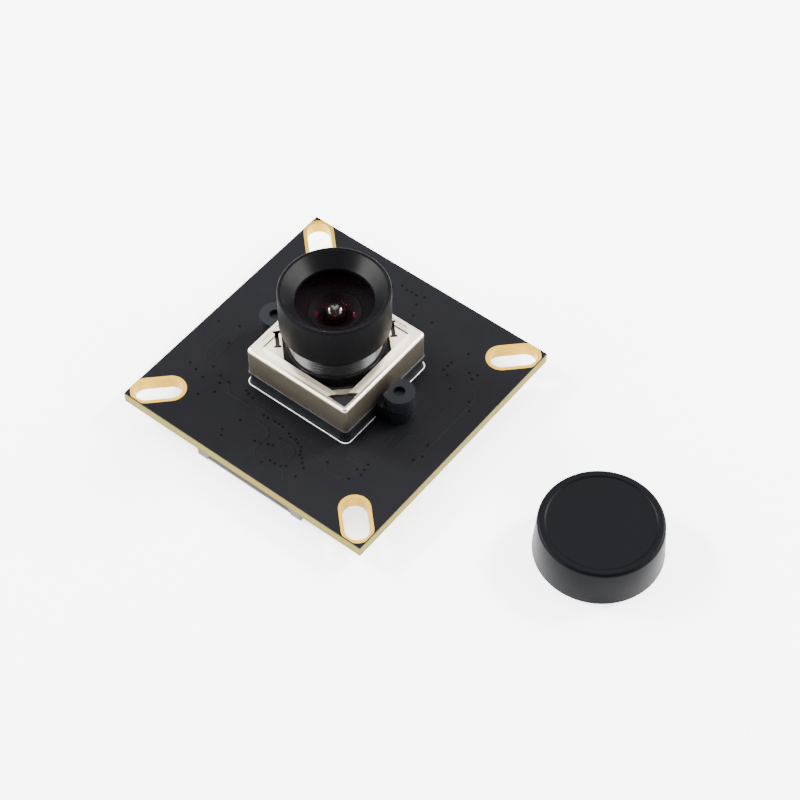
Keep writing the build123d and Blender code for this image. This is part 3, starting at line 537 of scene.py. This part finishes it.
class CAMERAMODULE_OT_finish_board(bpy.types.Operator):
    """Finish the circuit board: mask, plated slots, masked tracks and vias, and the printed outline"""

    bl_idname = "camera_module.finish_board"
    bl_label = "Finish Board"

    def execute(self, context):
        sizes, colours = context.scene.camera_module_sizes, context.scene.camera_module_colours
        mask = solder_mask(colours)
        finish_nodes(mask, "circuit_board")
        # Immersion gold over nickel over copper: satin, with the fine bite of the etch below it
        finish_nodes(grained_finish(
            "Gold-plated copper", colours.gold[:], "#B08A2A", 0.15, 0.002, (0.28, 0.4), Metallic=1.0
        ), "slot_pads")
        ease_edges("slot_pads", 0.02)

        tracks = bmesh.new()
        height = sizes.track_height
        for runs, width, foot, top, slope in (
            (UPPER_TRACKS, sizes.track_width * 1.4, BOARD_TOP, BOARD_TOP + height, 0.05 * MM),
            (LOWER_TRACKS, sizes.track_width, BOARD_BOTTOM, BOARD_BOTTOM - height, 0.04 * MM),
        ):
            for run in runs:
                add_ribbon(tracks, [(x * MM, y * MM) for x, y in run], width, foot, top, slope)
        new_piece("board_tracks", tracks, mask, "board", 20)

        vias = bmesh.new()
        proud = height * 1.6
        places = []
        chance = random.Random(7)
        for (x, y), (step_x, step_y), count in UPPER_VIA_ROWS:
            for turn in range(count):
                stray = [chance.uniform(-VIA_STRAY, VIA_STRAY) for axis in range(2)]
                places.append((x + step_x * turn + stray[0], y + step_y * turn + stray[1]))
        while len(places) < UPPER_VIAS:
            x, y = chance.uniform(-17.5, 17.5), chance.uniform(-17.5, 17.5)
            # Clear of the holder's plinth, of the slots and of the holder's two ears
            beside_holder = abs(x) > 9.2 or abs(y) > 9.4
            if beside_holder and hypot(x, y) < VIA_REACH and hypot(abs(x) - 10, y) > 3:
                if all(hypot(x - a, y - b) > 0.9 for a, b in places):
                    places.append((x, y))
        for x, y in places:
            add_via(vias, x * MM, y * MM, BOARD_TOP, 1, sizes.via_diameter, proud)
        parts = [solid for node in LOWER_PARTS for solid in solid_boxes(node)]
        count = 0
        while count < LOWER_VIAS:
            x, y = chance.uniform(-17, 17) * MM, chance.uniform(-12, 17.5) * MM
            free = all(
                x < low.x - MM or x > high.x + MM or y < low.y - MM or y > high.y + MM for low, high in parts
            )
            if free and hypot(x, y) < VIA_REACH * MM:
                add_via(vias, x, y, BOARD_BOTTOM, -1, sizes.via_diameter, proud)
                count += 1
        # The mask sinks into the drilled vias: its colour is painted darker than the faces around as the vias'
        # shade, and it is duller
        sunk = grained_finish(
            "Solder mask in vias, painted shade", "#020202", "#060606", 0.1, 0.004, (0.6, 0.75), Specular_IOR_Level=0.02
        )
        new_piece("board_vias", vias, sunk, "board", 30)

        # Screen-printed epoxy ink: matt white with ragged grain; it is left out where it would reach metal
        ink = grained_finish("Screen-printed ink", colours.ink[:], "#C8C8C4", 0.1, 0.004, (0.5, 0.65))
        outline = bmesh.new()
        reach, corner, gap = sizes.ink_distance, 0.9 * MM, 2.35 * MM
        turn = reach - corner
        for run in (
            [(reach, gap)] + bend((turn, turn), corner, 0, 90) + [(gap, reach)],
            [(-gap, reach)] + bend((-turn, turn), corner, 90, 180) + [(-reach, gap)],
            [(-reach, -gap)] + bend((-turn, -turn), corner, 180, 270)
            + bend((turn, -turn), corner, 270, 360) + [(reach, -gap)],
        ):
            add_ribbon(outline, run, sizes.ink_width, BOARD_TOP, BOARD_TOP + sizes.ink_height)
        new_piece("printed_outline", outline, ink, "board")
        return {"FINISHED"}


class CAMERAMODULE_OT_finish_holder(bpy.types.Operator):
    """Finish the holder base, its screws, the image sensor and the infrared filter"""

    bl_idname = "camera_module.finish_holder"
    bl_label = "Finish Holder"

    def execute(self, context):
        colours = context.scene.camera_module_colours
        # Glass-filled liquid-crystal polymer, injection moulded: dark, satin, with flow grain of short fibres
        finish_nodes(grained_finish(
            "Liquid-crystal polymer, moulded", colours.holder[:], "#15171B", 0.12, 0.005, (0.34, 0.46),
            Specular_IOR_Level=0.08,
        ), "holder_base")
        ease_edges("holder_base", 0.06)
        # Carbon steel, cold headed and black zinc plated: dark metal with fine drawing marks
        finish_nodes(grained_finish(
            "Black zinc-plated steel", "#1E1E20", "#141416", 0.12, 0.003, (0.28, 0.38), Metallic=1.0
        ), "holder_screws")
        ease_edges("holder_screws", 0.16)
        # Fired alumina: matt off-white, sugary grain
        finish_nodes(grained_finish(
            "Alumina ceramic, fired", "#D8D5CB", "#C4C0B4", 0.08, 0.004, (0.6, 0.72)
        ), "sensor_package")
        # Diced silicon with its filter mosaic: dark mirror with a fine violet shimmer
        finish_nodes(grained_finish(
            "Silicon, polished", "#3A3450", "#2A3A4A", 0.06, 0.0, (0.1, 0.18), Metallic=0.8
        ), "sensor_die")
        finish_nodes(coated_glass("Cover glass", "#F7FBFB", "#3C4670", Transmission_Weight=1.0), "sensor_glass")
        finish_nodes(coated_glass(
            "Infrared filter glass", "#BFE6EA", "#A85046", Transmission_Weight=1.0
        ), "infrared_filter")
        return {"FINISHED"}


class CAMERAMODULE_OT_finish_motor(bpy.types.Operator):
    """Finish the focus motor: can, springs, magnets, lens carrier, coil and soldered terminals"""

    bl_idname = "camera_module.finish_motor"
    bl_label = "Finish Focus Motor"

    def execute(self, context):
        colours = context.scene.camera_module_colours
        finish_nodes(drawn_can(colours), "focus_can")
        ease_edges("focus_can", 0.03)
        # Beryllium copper foil, etched: its colour is painted near black as the shade inside the can, with a
        # satin etch
        finish_nodes(grained_finish(
            "Beryllium copper, painted shade black", "#1E1A17", "#2B241E", 0.1, 0.002, (0.3, 0.42), Metallic=1.0
        ), "lower_spring", "upper_spring")
        # Sintered magnets, nickel plated in a barrel: grey metal with soft pits
        finish_nodes(grained_finish(
            "Nickel-plated magnet", "#A2A29E", "#84847F", 0.2, 0.006, (0.28, 0.42), Metallic=1.0
        ), "magnets")
        # Liquid-crystal polymer, injection moulded in thin walls: black and satin
        finish_nodes(grained_finish(
            "Polymer, moulded, black", colours.carrier[:], "#101012", 0.1, 0.004, (0.34, 0.46),
            Specular_IOR_Level=0.3,
        ), "lens_carrier", "spring_frame")
        ease_edges("lens_carrier", 0.07)
        finish_nodes(wound_wire(), "focus_coil")

        # Epoxy, run around the can's foot and cured: clear and glossy, with slow waves along the bead
        bead = grained_finish("Epoxy bead, cured", "#2A2A2C", "#3A3A3C", 0.6, 0.006, (0.12, 0.2))
        seal = bmesh.new()
        low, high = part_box("focus_can")
        corner, foot = 0.5 * MM, low.z
        turn = high.x + 0.02 * MM - corner
        loop = []
        for start, side_x, side_y in ((0, 1, 1), (90, -1, 1), (180, -1, -1), (270, 1, -1)):
            loop += bend((side_x * turn, side_y * turn), corner, start, start + 90, 5)
        add_ribbon(seal, loop + loop[:1], 0.12 * MM, foot, foot + 0.08 * MM, 0.05 * MM)
        new_piece("can_seal", seal, bead, "board")

        # Tin over copper alloy, stamped: soft grey sheen
        finish_nodes(grained_finish(
            "Tinned copper alloy", "#CFCEC8", "#AEADA6", 0.15, 0.004, (0.28, 0.4), Metallic=1.0
        ), "coil_terminals")

        # Lead-free solder, reflowed: bright with a grainy skin
        solder = grained_finish("Solder, reflowed", "#D2D2CE", "#A8A8A4", 0.12, 0.008, (0.28, 0.38), Metallic=1.0)
        blobs = bmesh.new()
        radius, rise = 0.52 * MM, 0.42 * MM
        outline = [(radius * cos(radians(a)), rise * sin(radians(a))) for a in range(0, 90, 15)]
        outline += [(2 * PINHOLE, rise), (2 * PINHOLE, 0.0)]
        for low, high in solid_boxes("coil_terminals"):
            add_turning(blobs, outline, 24, ((low.x + high.x) / 2, high.y - 0.28 * MM))
        new_piece("terminal_solder", blobs, solder, "board")
        return {"FINISHED"}


class CAMERAMODULE_OT_turn_barrel(bpy.types.Operator):
    """Turn the lens barrel with its fine thread and rounded rim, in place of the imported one"""

    bl_idname = "camera_module.turn_barrel"
    bl_label = "Turn Barrel"

    def execute(self, context):
        sizes, colours = context.scene.camera_module_sizes, context.scene.camera_module_colours
        crest, neck, head = 6.0 * MM, 5.75 * MM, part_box("lens_barrel")[1].x
        thread_top, head_bottom = BARREL_BOTTOM + 5.4 * MM, BARREL_BOTTOM + 6.9 * MM
        rounding, wall = sizes.rim_rounding, 0.4 * MM
        # Heights of the steps in the bore: the hood ring's, the front glass's, and both faces of the rear lip
        seats = [BARREL_TOP - drop * MM for drop in (2.3, 4.02, 8.6, 9.0)]
        foot, pocket, room, lip = 4.0 * MM, 5.45 * MM, 3.4 * MM, 2.3 * MM
        fillet, ease = 0.15 * MM, 0.06 * MM
        outline = [(foot, BARREL_BOTTOM)]
        height = BARREL_BOTTOM
        while height < head_bottom - 0.1 * MM:
            outline.append((crest if height < thread_top else neck, height))
            height += sizes.thread_pitch / 8
        outline += [(neck - 0.05 * MM, head_bottom - 0.01 * MM), (neck + 0.1 * MM, head_bottom)]
        outline += bend((head - fillet, head_bottom + fillet), fillet, -90, 0, 4)
        outline += bend((head - rounding, BARREL_TOP - rounding), rounding, 0, 90, 8)
        outline += bend((head - wall + ease, BARREL_TOP - ease), ease, 90, 180, 3)
        outline += [
            (head - wall, seats[0]), (pocket, seats[0]), (pocket, seats[1]), (room, seats[1]),
            (room, seats[2]), (lip, seats[2]), (lip, seats[3]), (foot, seats[3]),
        ]

        def cut_thread(radius, height, angle):
            """The thread's flanks: a triangle wave that climbs one pitch a turn and fades out at both ends."""
            if radius not in (crest, neck):
                return radius
            turns = (height - BARREL_BOTTOM) / sizes.thread_pitch - angle / (2 * pi)
            depth = abs((turns % 1.0) * 2 - 1) * sizes.thread_depth
            lead = max(0.0, 0.3 * MM - (height - BARREL_BOTTOM))
            return radius - max(depth, lead)

        shape = bmesh.new()
        add_turning(shape, outline, 144, cut=cut_thread)
        metal = turned_aluminium("Black anodised aluminium", colours, head_bottom, 0.4, 0.02)
        barrel = new_piece("threaded_barrel", shape, metal, "lens", 50)
        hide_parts("lens_barrel")
        return {"FINISHED"}


class CAMERAMODULE_OT_fit_optics(bpy.types.Operator):
    """Finish the glass, rings and stop in the barrel, and blacken the rim of the front glass"""

    bl_idname = "camera_module.fit_optics"
    bl_label = "Fit Optics"

    def execute(self, context):
        anodised = turned_aluminium("Black anodised rings", context.scene.camera_module_colours, 0.0, 0.25, 0.13)
        finish_nodes(anodised, "front_ring", "aperture_stop", "rear_ring")
        ease_edges("front_ring", 0.03)
        # Edge-blackening lacquer, brushed on the glasses' rims and shoulders: dead black with brush grain
        lacquer = grained_finish(
            "Edge-blackening lacquer", "#020203", "#040405", 0.1, 0.003, (0.7, 0.8), Specular_IOR_Level=0.05
        )
        finish_nodes(lacquer, "front_spacer")
        rear_film = coated_glass("Rear glass, blue film", "#F4FAF8", "#3C4670", Transmission_Weight=1.0)
        finish_nodes(rear_film, "third_element", "rear_element")

        # The front's films take green light best and so leave magenta
        magenta_film = coated_glass(
            "Front glass, magenta film", "#020203", "#FF1078", Alpha=0.045, Specular_IOR_Level=1.0
        )
        rear, face = (corner.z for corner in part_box("front_element"))
        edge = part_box("front_element")[1].x
        chamfer, hollow, depth = 0.1 * MM, 3.3 * MM, 1.1 * MM
        bowl = (hollow**2 + depth**2) / (2 * depth)
        outline = [(edge, rear), (edge, face - chamfer), (edge - chamfer, face), (PINHOLE, face)]
        outline += bend((0, rear + depth - bowl), bowl, 89.9, 90 - degrees(asin(hollow / bowl)), 24)
        shape = bmesh.new()
        add_turning(shape, outline, 120)
        front = new_piece("front_glass", shape, magenta_film, "lens", 30)
        blacken(front, lacquer, lambda part: part.center.z < rear + 0.01 * MM)
        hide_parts("front_element")

        # Behind the inner glass all is dark, so its body is nearly black
        green_film = coated_glass("Inner glass, green film", "#040705", "#D8E8DC", 1.6)
        low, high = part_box("second_element")
        dome, seat, apex = 1.5 * MM, high.z - 1.25 * MM, high.z + 0.6 * MM
        ball = (dome**2 + (apex - seat) ** 2) / (2 * (apex - seat))
        outline = [(PINHOLE, low.z), (high.x, low.z), (high.x, seat)]
        outline += bend((0, apex - ball), ball, 90 - degrees(acos((ball - (apex - seat)) / ball)), 89.9, 24)
        shape = bmesh.new()
        add_turning(shape, outline, 120)
        inner = new_piece("inner_glass", shape, green_film, "lens", 50)
        blacken(inner, lacquer, lambda part: hypot(*part.center[:2]) > dome)
        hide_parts("second_element")

        shape = bmesh.new()
        bore, rim, thick = 3.33 * MM, edge - 0.02 * MM, 0.012 * MM
        add_turning(
            shape, [(bore, rear - thick), (rim, rear - thick), (rim, rear + thick), (bore, rear + thick)], 96
        )
        new_piece("blackened_rim", shape, lacquer, "lens")
        return {"FINISHED"}


class CAMERAMODULE_OT_finish_connector(bpy.types.Operator):
    """Finish the flat-cable connector, its contacts, anchors and latch"""

    bl_idname = "camera_module.finish_connector"
    bl_label = "Finish Connector"

    def execute(self, context):
        colours = context.scene.camera_module_colours
        # Glass-filled nylon, moulded: dark grey with paler fibres, and nearly black for the latch
        finish_nodes(grained_finish(
            "Nylon, moulded, grey", colours.housing[:], "#424244", 0.14, 0.006, (0.42, 0.56)
        ), "cable_connector")
        ease_edges("cable_connector", 0.03)
        finish_nodes(grained_finish(
            "Nylon, moulded, black", colours.latch[:], "#20222A", 0.12, 0.005, (0.3, 0.42), Specular_IOR_Level=0.2
        ), "connector_latch")
        # Phosphor bronze, stamped and flash plated with gold: warm, with the shear marks of the punch
        finish_nodes(grained_finish(
            "Gold-flashed bronze", "#DDB668", "#C59A4C", 0.08, 0.002, (0.28, 0.36), Metallic=1.0
        ), "connector_contacts")
        finish_nodes(bpy.data.materials["Tinned copper alloy"], "connector_anchors")
        return {"FINISHED"}


class CAMERAMODULE_OT_finish_chips(bpy.types.Operator):
    """Finish the chips, crystal, inductors, regulators and small parts, and mark each chip's first pin"""

    bl_idname = "camera_module.finish_chips"
    bl_label = "Finish Chips"

    def execute(self, context):
        # Filled epoxy, transfer moulded: dull black with pale specks of filler
        finish_nodes(grained_finish(
            "Epoxy, transfer moulded", "#161618", "#252528", 0.07, 0.008, (0.55, 0.7), Specular_IOR_Level=0.3
        ), "processor_chip", "memory_chip", "motor_driver", "regulators")
        ease_edges("processor_chip", 0.05)
        ease_edges("memory_chip", 0.05)
        # Kovar lid, drawn and nickel plated: bright with a faint orange peel
        finish_nodes(grained_finish(
            "Nickel-plated lid", "#C8C7C0", "#ABAAA2", 0.3, 0.004, (0.28, 0.34), Metallic=1.0
        ), "crystal")
        finish_nodes(ferrite_drum(), "inductors")
        ease_edges("inductors", 0.08)
        tin = bpy.data.materials["Tinned copper alloy"]
        finish_nodes(tin, "inductor_terminals", "regulator_leads", "chip_ends")
        # Barium titanate, sintered: tan with a fired grain
        finish_nodes(grained_finish(
            "Barium titanate, sintered", "#9A7A55", "#846442", 0.07, 0.003, (0.45, 0.58)
        ), "capacitors")
        # Alumina chip under black glaze: glossy with tiny waves
        finish_nodes(grained_finish(
            "Glazed resistor", "#0F1012", "#1A1B1E", 0.15, 0.003, (0.16, 0.28)
        ), "resistors")

        # Laser-marked dots: the epoxy is burnt to a paler, rougher grey
        burnt = grained_finish("Laser-burnt epoxy", "#4A4A4C", "#5C5C5E", 0.05, 0.004, (0.75, 0.85))
        marks = bmesh.new()
        for node in ("processor_chip", "memory_chip", "motor_driver"):
            low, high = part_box(node)
            inset, radius = 0.14 * (high.x - low.x), 0.05 * (high.x - low.x)
            face = low.z - 0.008 * MM
            outline = [(PINHOLE, low.z), (radius, low.z), (radius, face), (PINHOLE, face)]
            add_turning(marks, outline, 24, (low.x + inset, high.y - inset))
        new_piece("first_pin_marks", marks, burnt, "board")
        return {"FINISHED"}


class CAMERAMODULE_OT_add_solder(bpy.types.Operator):
    """Run solder around the ends, leads and contacts under the board"""

    bl_idname = "camera_module.add_solder"
    bl_label = "Add Solder"

    def execute(self, context):
        solder = bpy.data.materials["Solder, reflowed"]
        shape = bmesh.new()
        spread = context.scene.camera_module_sizes.solder_spread
        # A lead or contact is soldered at its foot, over this length
        foot = 0.3 * MM
        for low, high in solid_boxes("chip_ends"):
            top = BOARD_BOTTOM + (low.z - BOARD_BOTTOM) * 0.55
            add_skirt(shape, low, high, BOARD_BOTTOM, top, spread)
        for low, high in solid_boxes("inductor_terminals"):
            add_skirt(shape, low, high, BOARD_BOTTOM, BOARD_BOTTOM - 0.5 * MM, spread * 1.6)
        middle = sum(corner.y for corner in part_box("regulators")) / 2
        for low, high in solid_boxes("regulator_leads"):
            if low.y > middle:
                low.y = high.y - foot
            else:
                high.y = low.y + foot
            add_skirt(shape, low, high, BOARD_BOTTOM, BOARD_BOTTOM - 0.12 * MM, spread * 0.8)
        for low, high in solid_boxes("connector_contacts"):
            low.y = high.y - foot
            add_skirt(shape, low, high, BOARD_BOTTOM, BOARD_BOTTOM - 0.15 * MM, spread * 0.7)
        # An anchor is soldered where it stands out of the housing
        housing_low, housing_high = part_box("cable_connector")
        for low, high in solid_boxes("connector_anchors"):
            if low.x < housing_low.x:
                high.x = housing_low.x - spread
            else:
                low.x = housing_high.x + spread
            add_skirt(shape, low, high, BOARD_BOTTOM, BOARD_BOTTOM - 0.15 * MM, spread)
        new_piece("board_solder", shape, solder, "board", 60)
        return {"FINISHED"}


class CAMERAMODULE_OT_mould_cap(bpy.types.Operator):
    """Mould the lens cap with its rounded edge and soft-edged dish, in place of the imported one"""

    bl_idname = "camera_module.mould_cap"
    bl_label = "Mould Cap"

    def execute(self, context):
        sizes, colours = context.scene.camera_module_sizes, context.scene.camera_module_colours
        mouth, bore, crown = 8.1 * MM, 7.05 * MM, 7.75 * MM
        rounding, dish = sizes.cap_rounding, sizes.cap_dish
        edge, roof, fillet = crown - sizes.cap_band, CAP_TOP - 1.2 * MM, 0.3 * MM
        outline = bend((bore + 0.15 * MM, FLOOR + 0.15 * MM), 0.15 * MM, 180, 270, 3)
        outline += bend((mouth - 0.08 * MM, FLOOR + 0.08 * MM), 0.08 * MM, -90, 0, 3)
        outline += bend((crown - rounding, CAP_TOP - rounding), rounding, 0, 90, 8)
        # The step down into the dish: a soft S, 0.26 mm wide
        for step in range(9):
            share = step / 8
            fall = dish * (1 - cos(pi * share)) / 2
            outline.append((edge + 0.12 * MM - 0.26 * MM * share, CAP_TOP - fall))
        outline += [(radius * MM, CAP_TOP - dish) for radius in (5.0, 3.0, 1.0, 0.02)]
        outline += [(2 * PINHOLE, roof), (bore - fillet, roof)]
        outline += bend((bore - fillet, roof - fillet), fillet, 90, 0, 4)
        # Low-density polyethylene, moulded in a spark-eroded tool: satin, its 0.05 mm grain drawn at 0.1 mm
        plastic = grained_finish(
            "Polyethylene, moulded", colours.cap[:], "#090A0D", 0.1, 0.003, (0.32, 0.42), Specular_IOR_Level=0.03
        )
        shape = bmesh.new()
        add_turning(shape, outline, 160, (CAP_MIDDLE.x, CAP_MIDDLE.y))
        cap = new_piece("moulded_cap", shape, plastic, "board", 50)
        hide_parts("lens_cap")
        return {"FINISHED"}


class CAMERAMODULE_OT_set_stage(bpy.types.Operator):
    """Set the pale table, the soft boxes and the camera"""

    bl_idname = "camera_module.set_stage"
    bl_label = "Set Stage"

    def execute(self, context):
        mesh = bpy.data.meshes.new("table")
        half = 1.5
        corners = [(-half, -half, FLOOR), (half, -half, FLOOR), (half, half, FLOOR), (-half, half, FLOOR)]
        mesh.from_pydata(corners, [], [(0, 1, 2, 3)])
        table = add_object("table", mesh)
        # White acrylic sheet lit from behind, as on a product table: shadows stay faint, sides are lit from below
        acrylic = grained_finish(
            "Acrylic sheet, back-lit", "#F2F2F2", "#EDEDED", 2.0, 0.0, (0.55, 0.6),
            Emission_Color=(1, 1, 1, 1), Emission_Strength=2.6, Specular_IOR_Level=0.1,
        )
        # The sheet is clear from below, so that the module's underside can be looked at
        side = add_node(acrylic, "NewGeometry")
        above = add_node(acrylic, "Math", {0: 1.0, 1: side.outputs["Backfacing"]}, operation="SUBTRACT")
        acrylic.node_tree.links.new(above.outputs[0], acrylic.node_tree.nodes["Principled BSDF"].inputs["Alpha"])
        acrylic.cycles.emission_sampling = "NONE"
        mesh.materials.append(acrylic)

        world = bpy.data.worlds.new("Studio")
        world.use_nodes = True
        background = world.node_tree.nodes["Background"]
        background.inputs["Color"].default_value = (1, 1, 1, 1)
        background.inputs["Strength"].default_value = 0.4
        context.scene.world = world

        for name, direction, distance, width, height, power in (
            ("Left soft box", (-0.64, -0.54, 0.54), 0.62, 0.60, 0.30, 9),
            ("Right soft box", (0.64, 0.54, 0.54), 0.62, 0.60, 0.30, 7.5),
            ("Left lamp", (-0.82, -0.20, 0.555), 0.60, 0.15, 0.15, 9),
            ("Right lamp", (0.36, 0.73, 0.555), 0.60, 0.15, 0.15, 9),
            ("Back left panel", (-0.467, 0.236, 0.88), 0.80, 0.27, 0.75, 4.2),
            ("Back right panel", (-0.153, 0.484, 0.88), 0.80, 0.27, 0.75, 4.2),
        ):
            light = bpy.data.lights.new(name, "AREA")
            light.shape = "RECTANGLE"
            light.size, light.size_y, light.energy = width, height, power
            lamp = add_object(name, light)
            lamp.location = Vector(direction).normalized() * distance
            lamp.rotation_euler = (-lamp.location).to_track_quat("-Z", "Y").to_euler()

        # Its place and lens are found from the board's four corners in the photograph
        camera = bpy.data.cameras.new("Photo camera")
        camera.lens = 101.18
        camera.sensor_width = 36
        viewer = add_object("Photo camera", camera)
        viewer.location = (115.19 * MM, -134.05 * MM, 222.80 * MM)
        viewer.rotation_euler = (radians(37.715), radians(-0.086), radians(38.200))
        context.scene.camera = viewer
        return {"FINISHED"}


STEPS = (
    CAMERAMODULE_OT_finish_board,
    CAMERAMODULE_OT_finish_holder,
    CAMERAMODULE_OT_finish_motor,
    CAMERAMODULE_OT_turn_barrel,
    CAMERAMODULE_OT_fit_optics,
    CAMERAMODULE_OT_finish_connector,
    CAMERAMODULE_OT_finish_chips,
    CAMERAMODULE_OT_add_solder,
    CAMERAMODULE_OT_mould_cap,
    CAMERAMODULE_OT_set_stage,
)


class CAMERAMODULE_PT_sidebar(bpy.types.Panel):
    """Lists the module's sizes, colours and operators"""

    bl_idname = "CAMERAMODULE_PT_sidebar"
    bl_label = "Camera Module"
    bl_space_type = "VIEW_3D"
    bl_region_type = "UI"
    bl_category = "Camera Module"

    def draw(self, context):
        for group in (context.scene.camera_module_sizes, context.scene.camera_module_colours):
            column = self.layout.column(align=True)
            for name in group.__annotations__:
                column.prop(group, name)
        for step in STEPS:
            self.layout.operator(step.bl_idname)


CLASSES = (CameraModuleSizes, CameraModuleColours) + STEPS + (CAMERAMODULE_PT_sidebar,)


def register():
    """Register the classes and hang the two groups on the scene."""
    for entry in CLASSES:
        bpy.utils.register_class(entry)
    bpy.types.Scene.camera_module_sizes = PointerProperty(type=CameraModuleSizes)
    bpy.types.Scene.camera_module_colours = PointerProperty(type=CameraModuleColours)


def unregister():
    """Take the groups off the scene and unregister the classes."""
    del bpy.types.Scene.camera_module_colours
    del bpy.types.Scene.camera_module_sizes
    for entry in reversed(CLASSES):
        bpy.utils.unregister_class(entry)


def main():
    """Run every step in order."""
    register()
    for step in STEPS:
        group, name = step.bl_idname.split(".")
        getattr(getattr(bpy.ops, group), name)()
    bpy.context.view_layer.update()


if __name__ == "__main__":
    main()
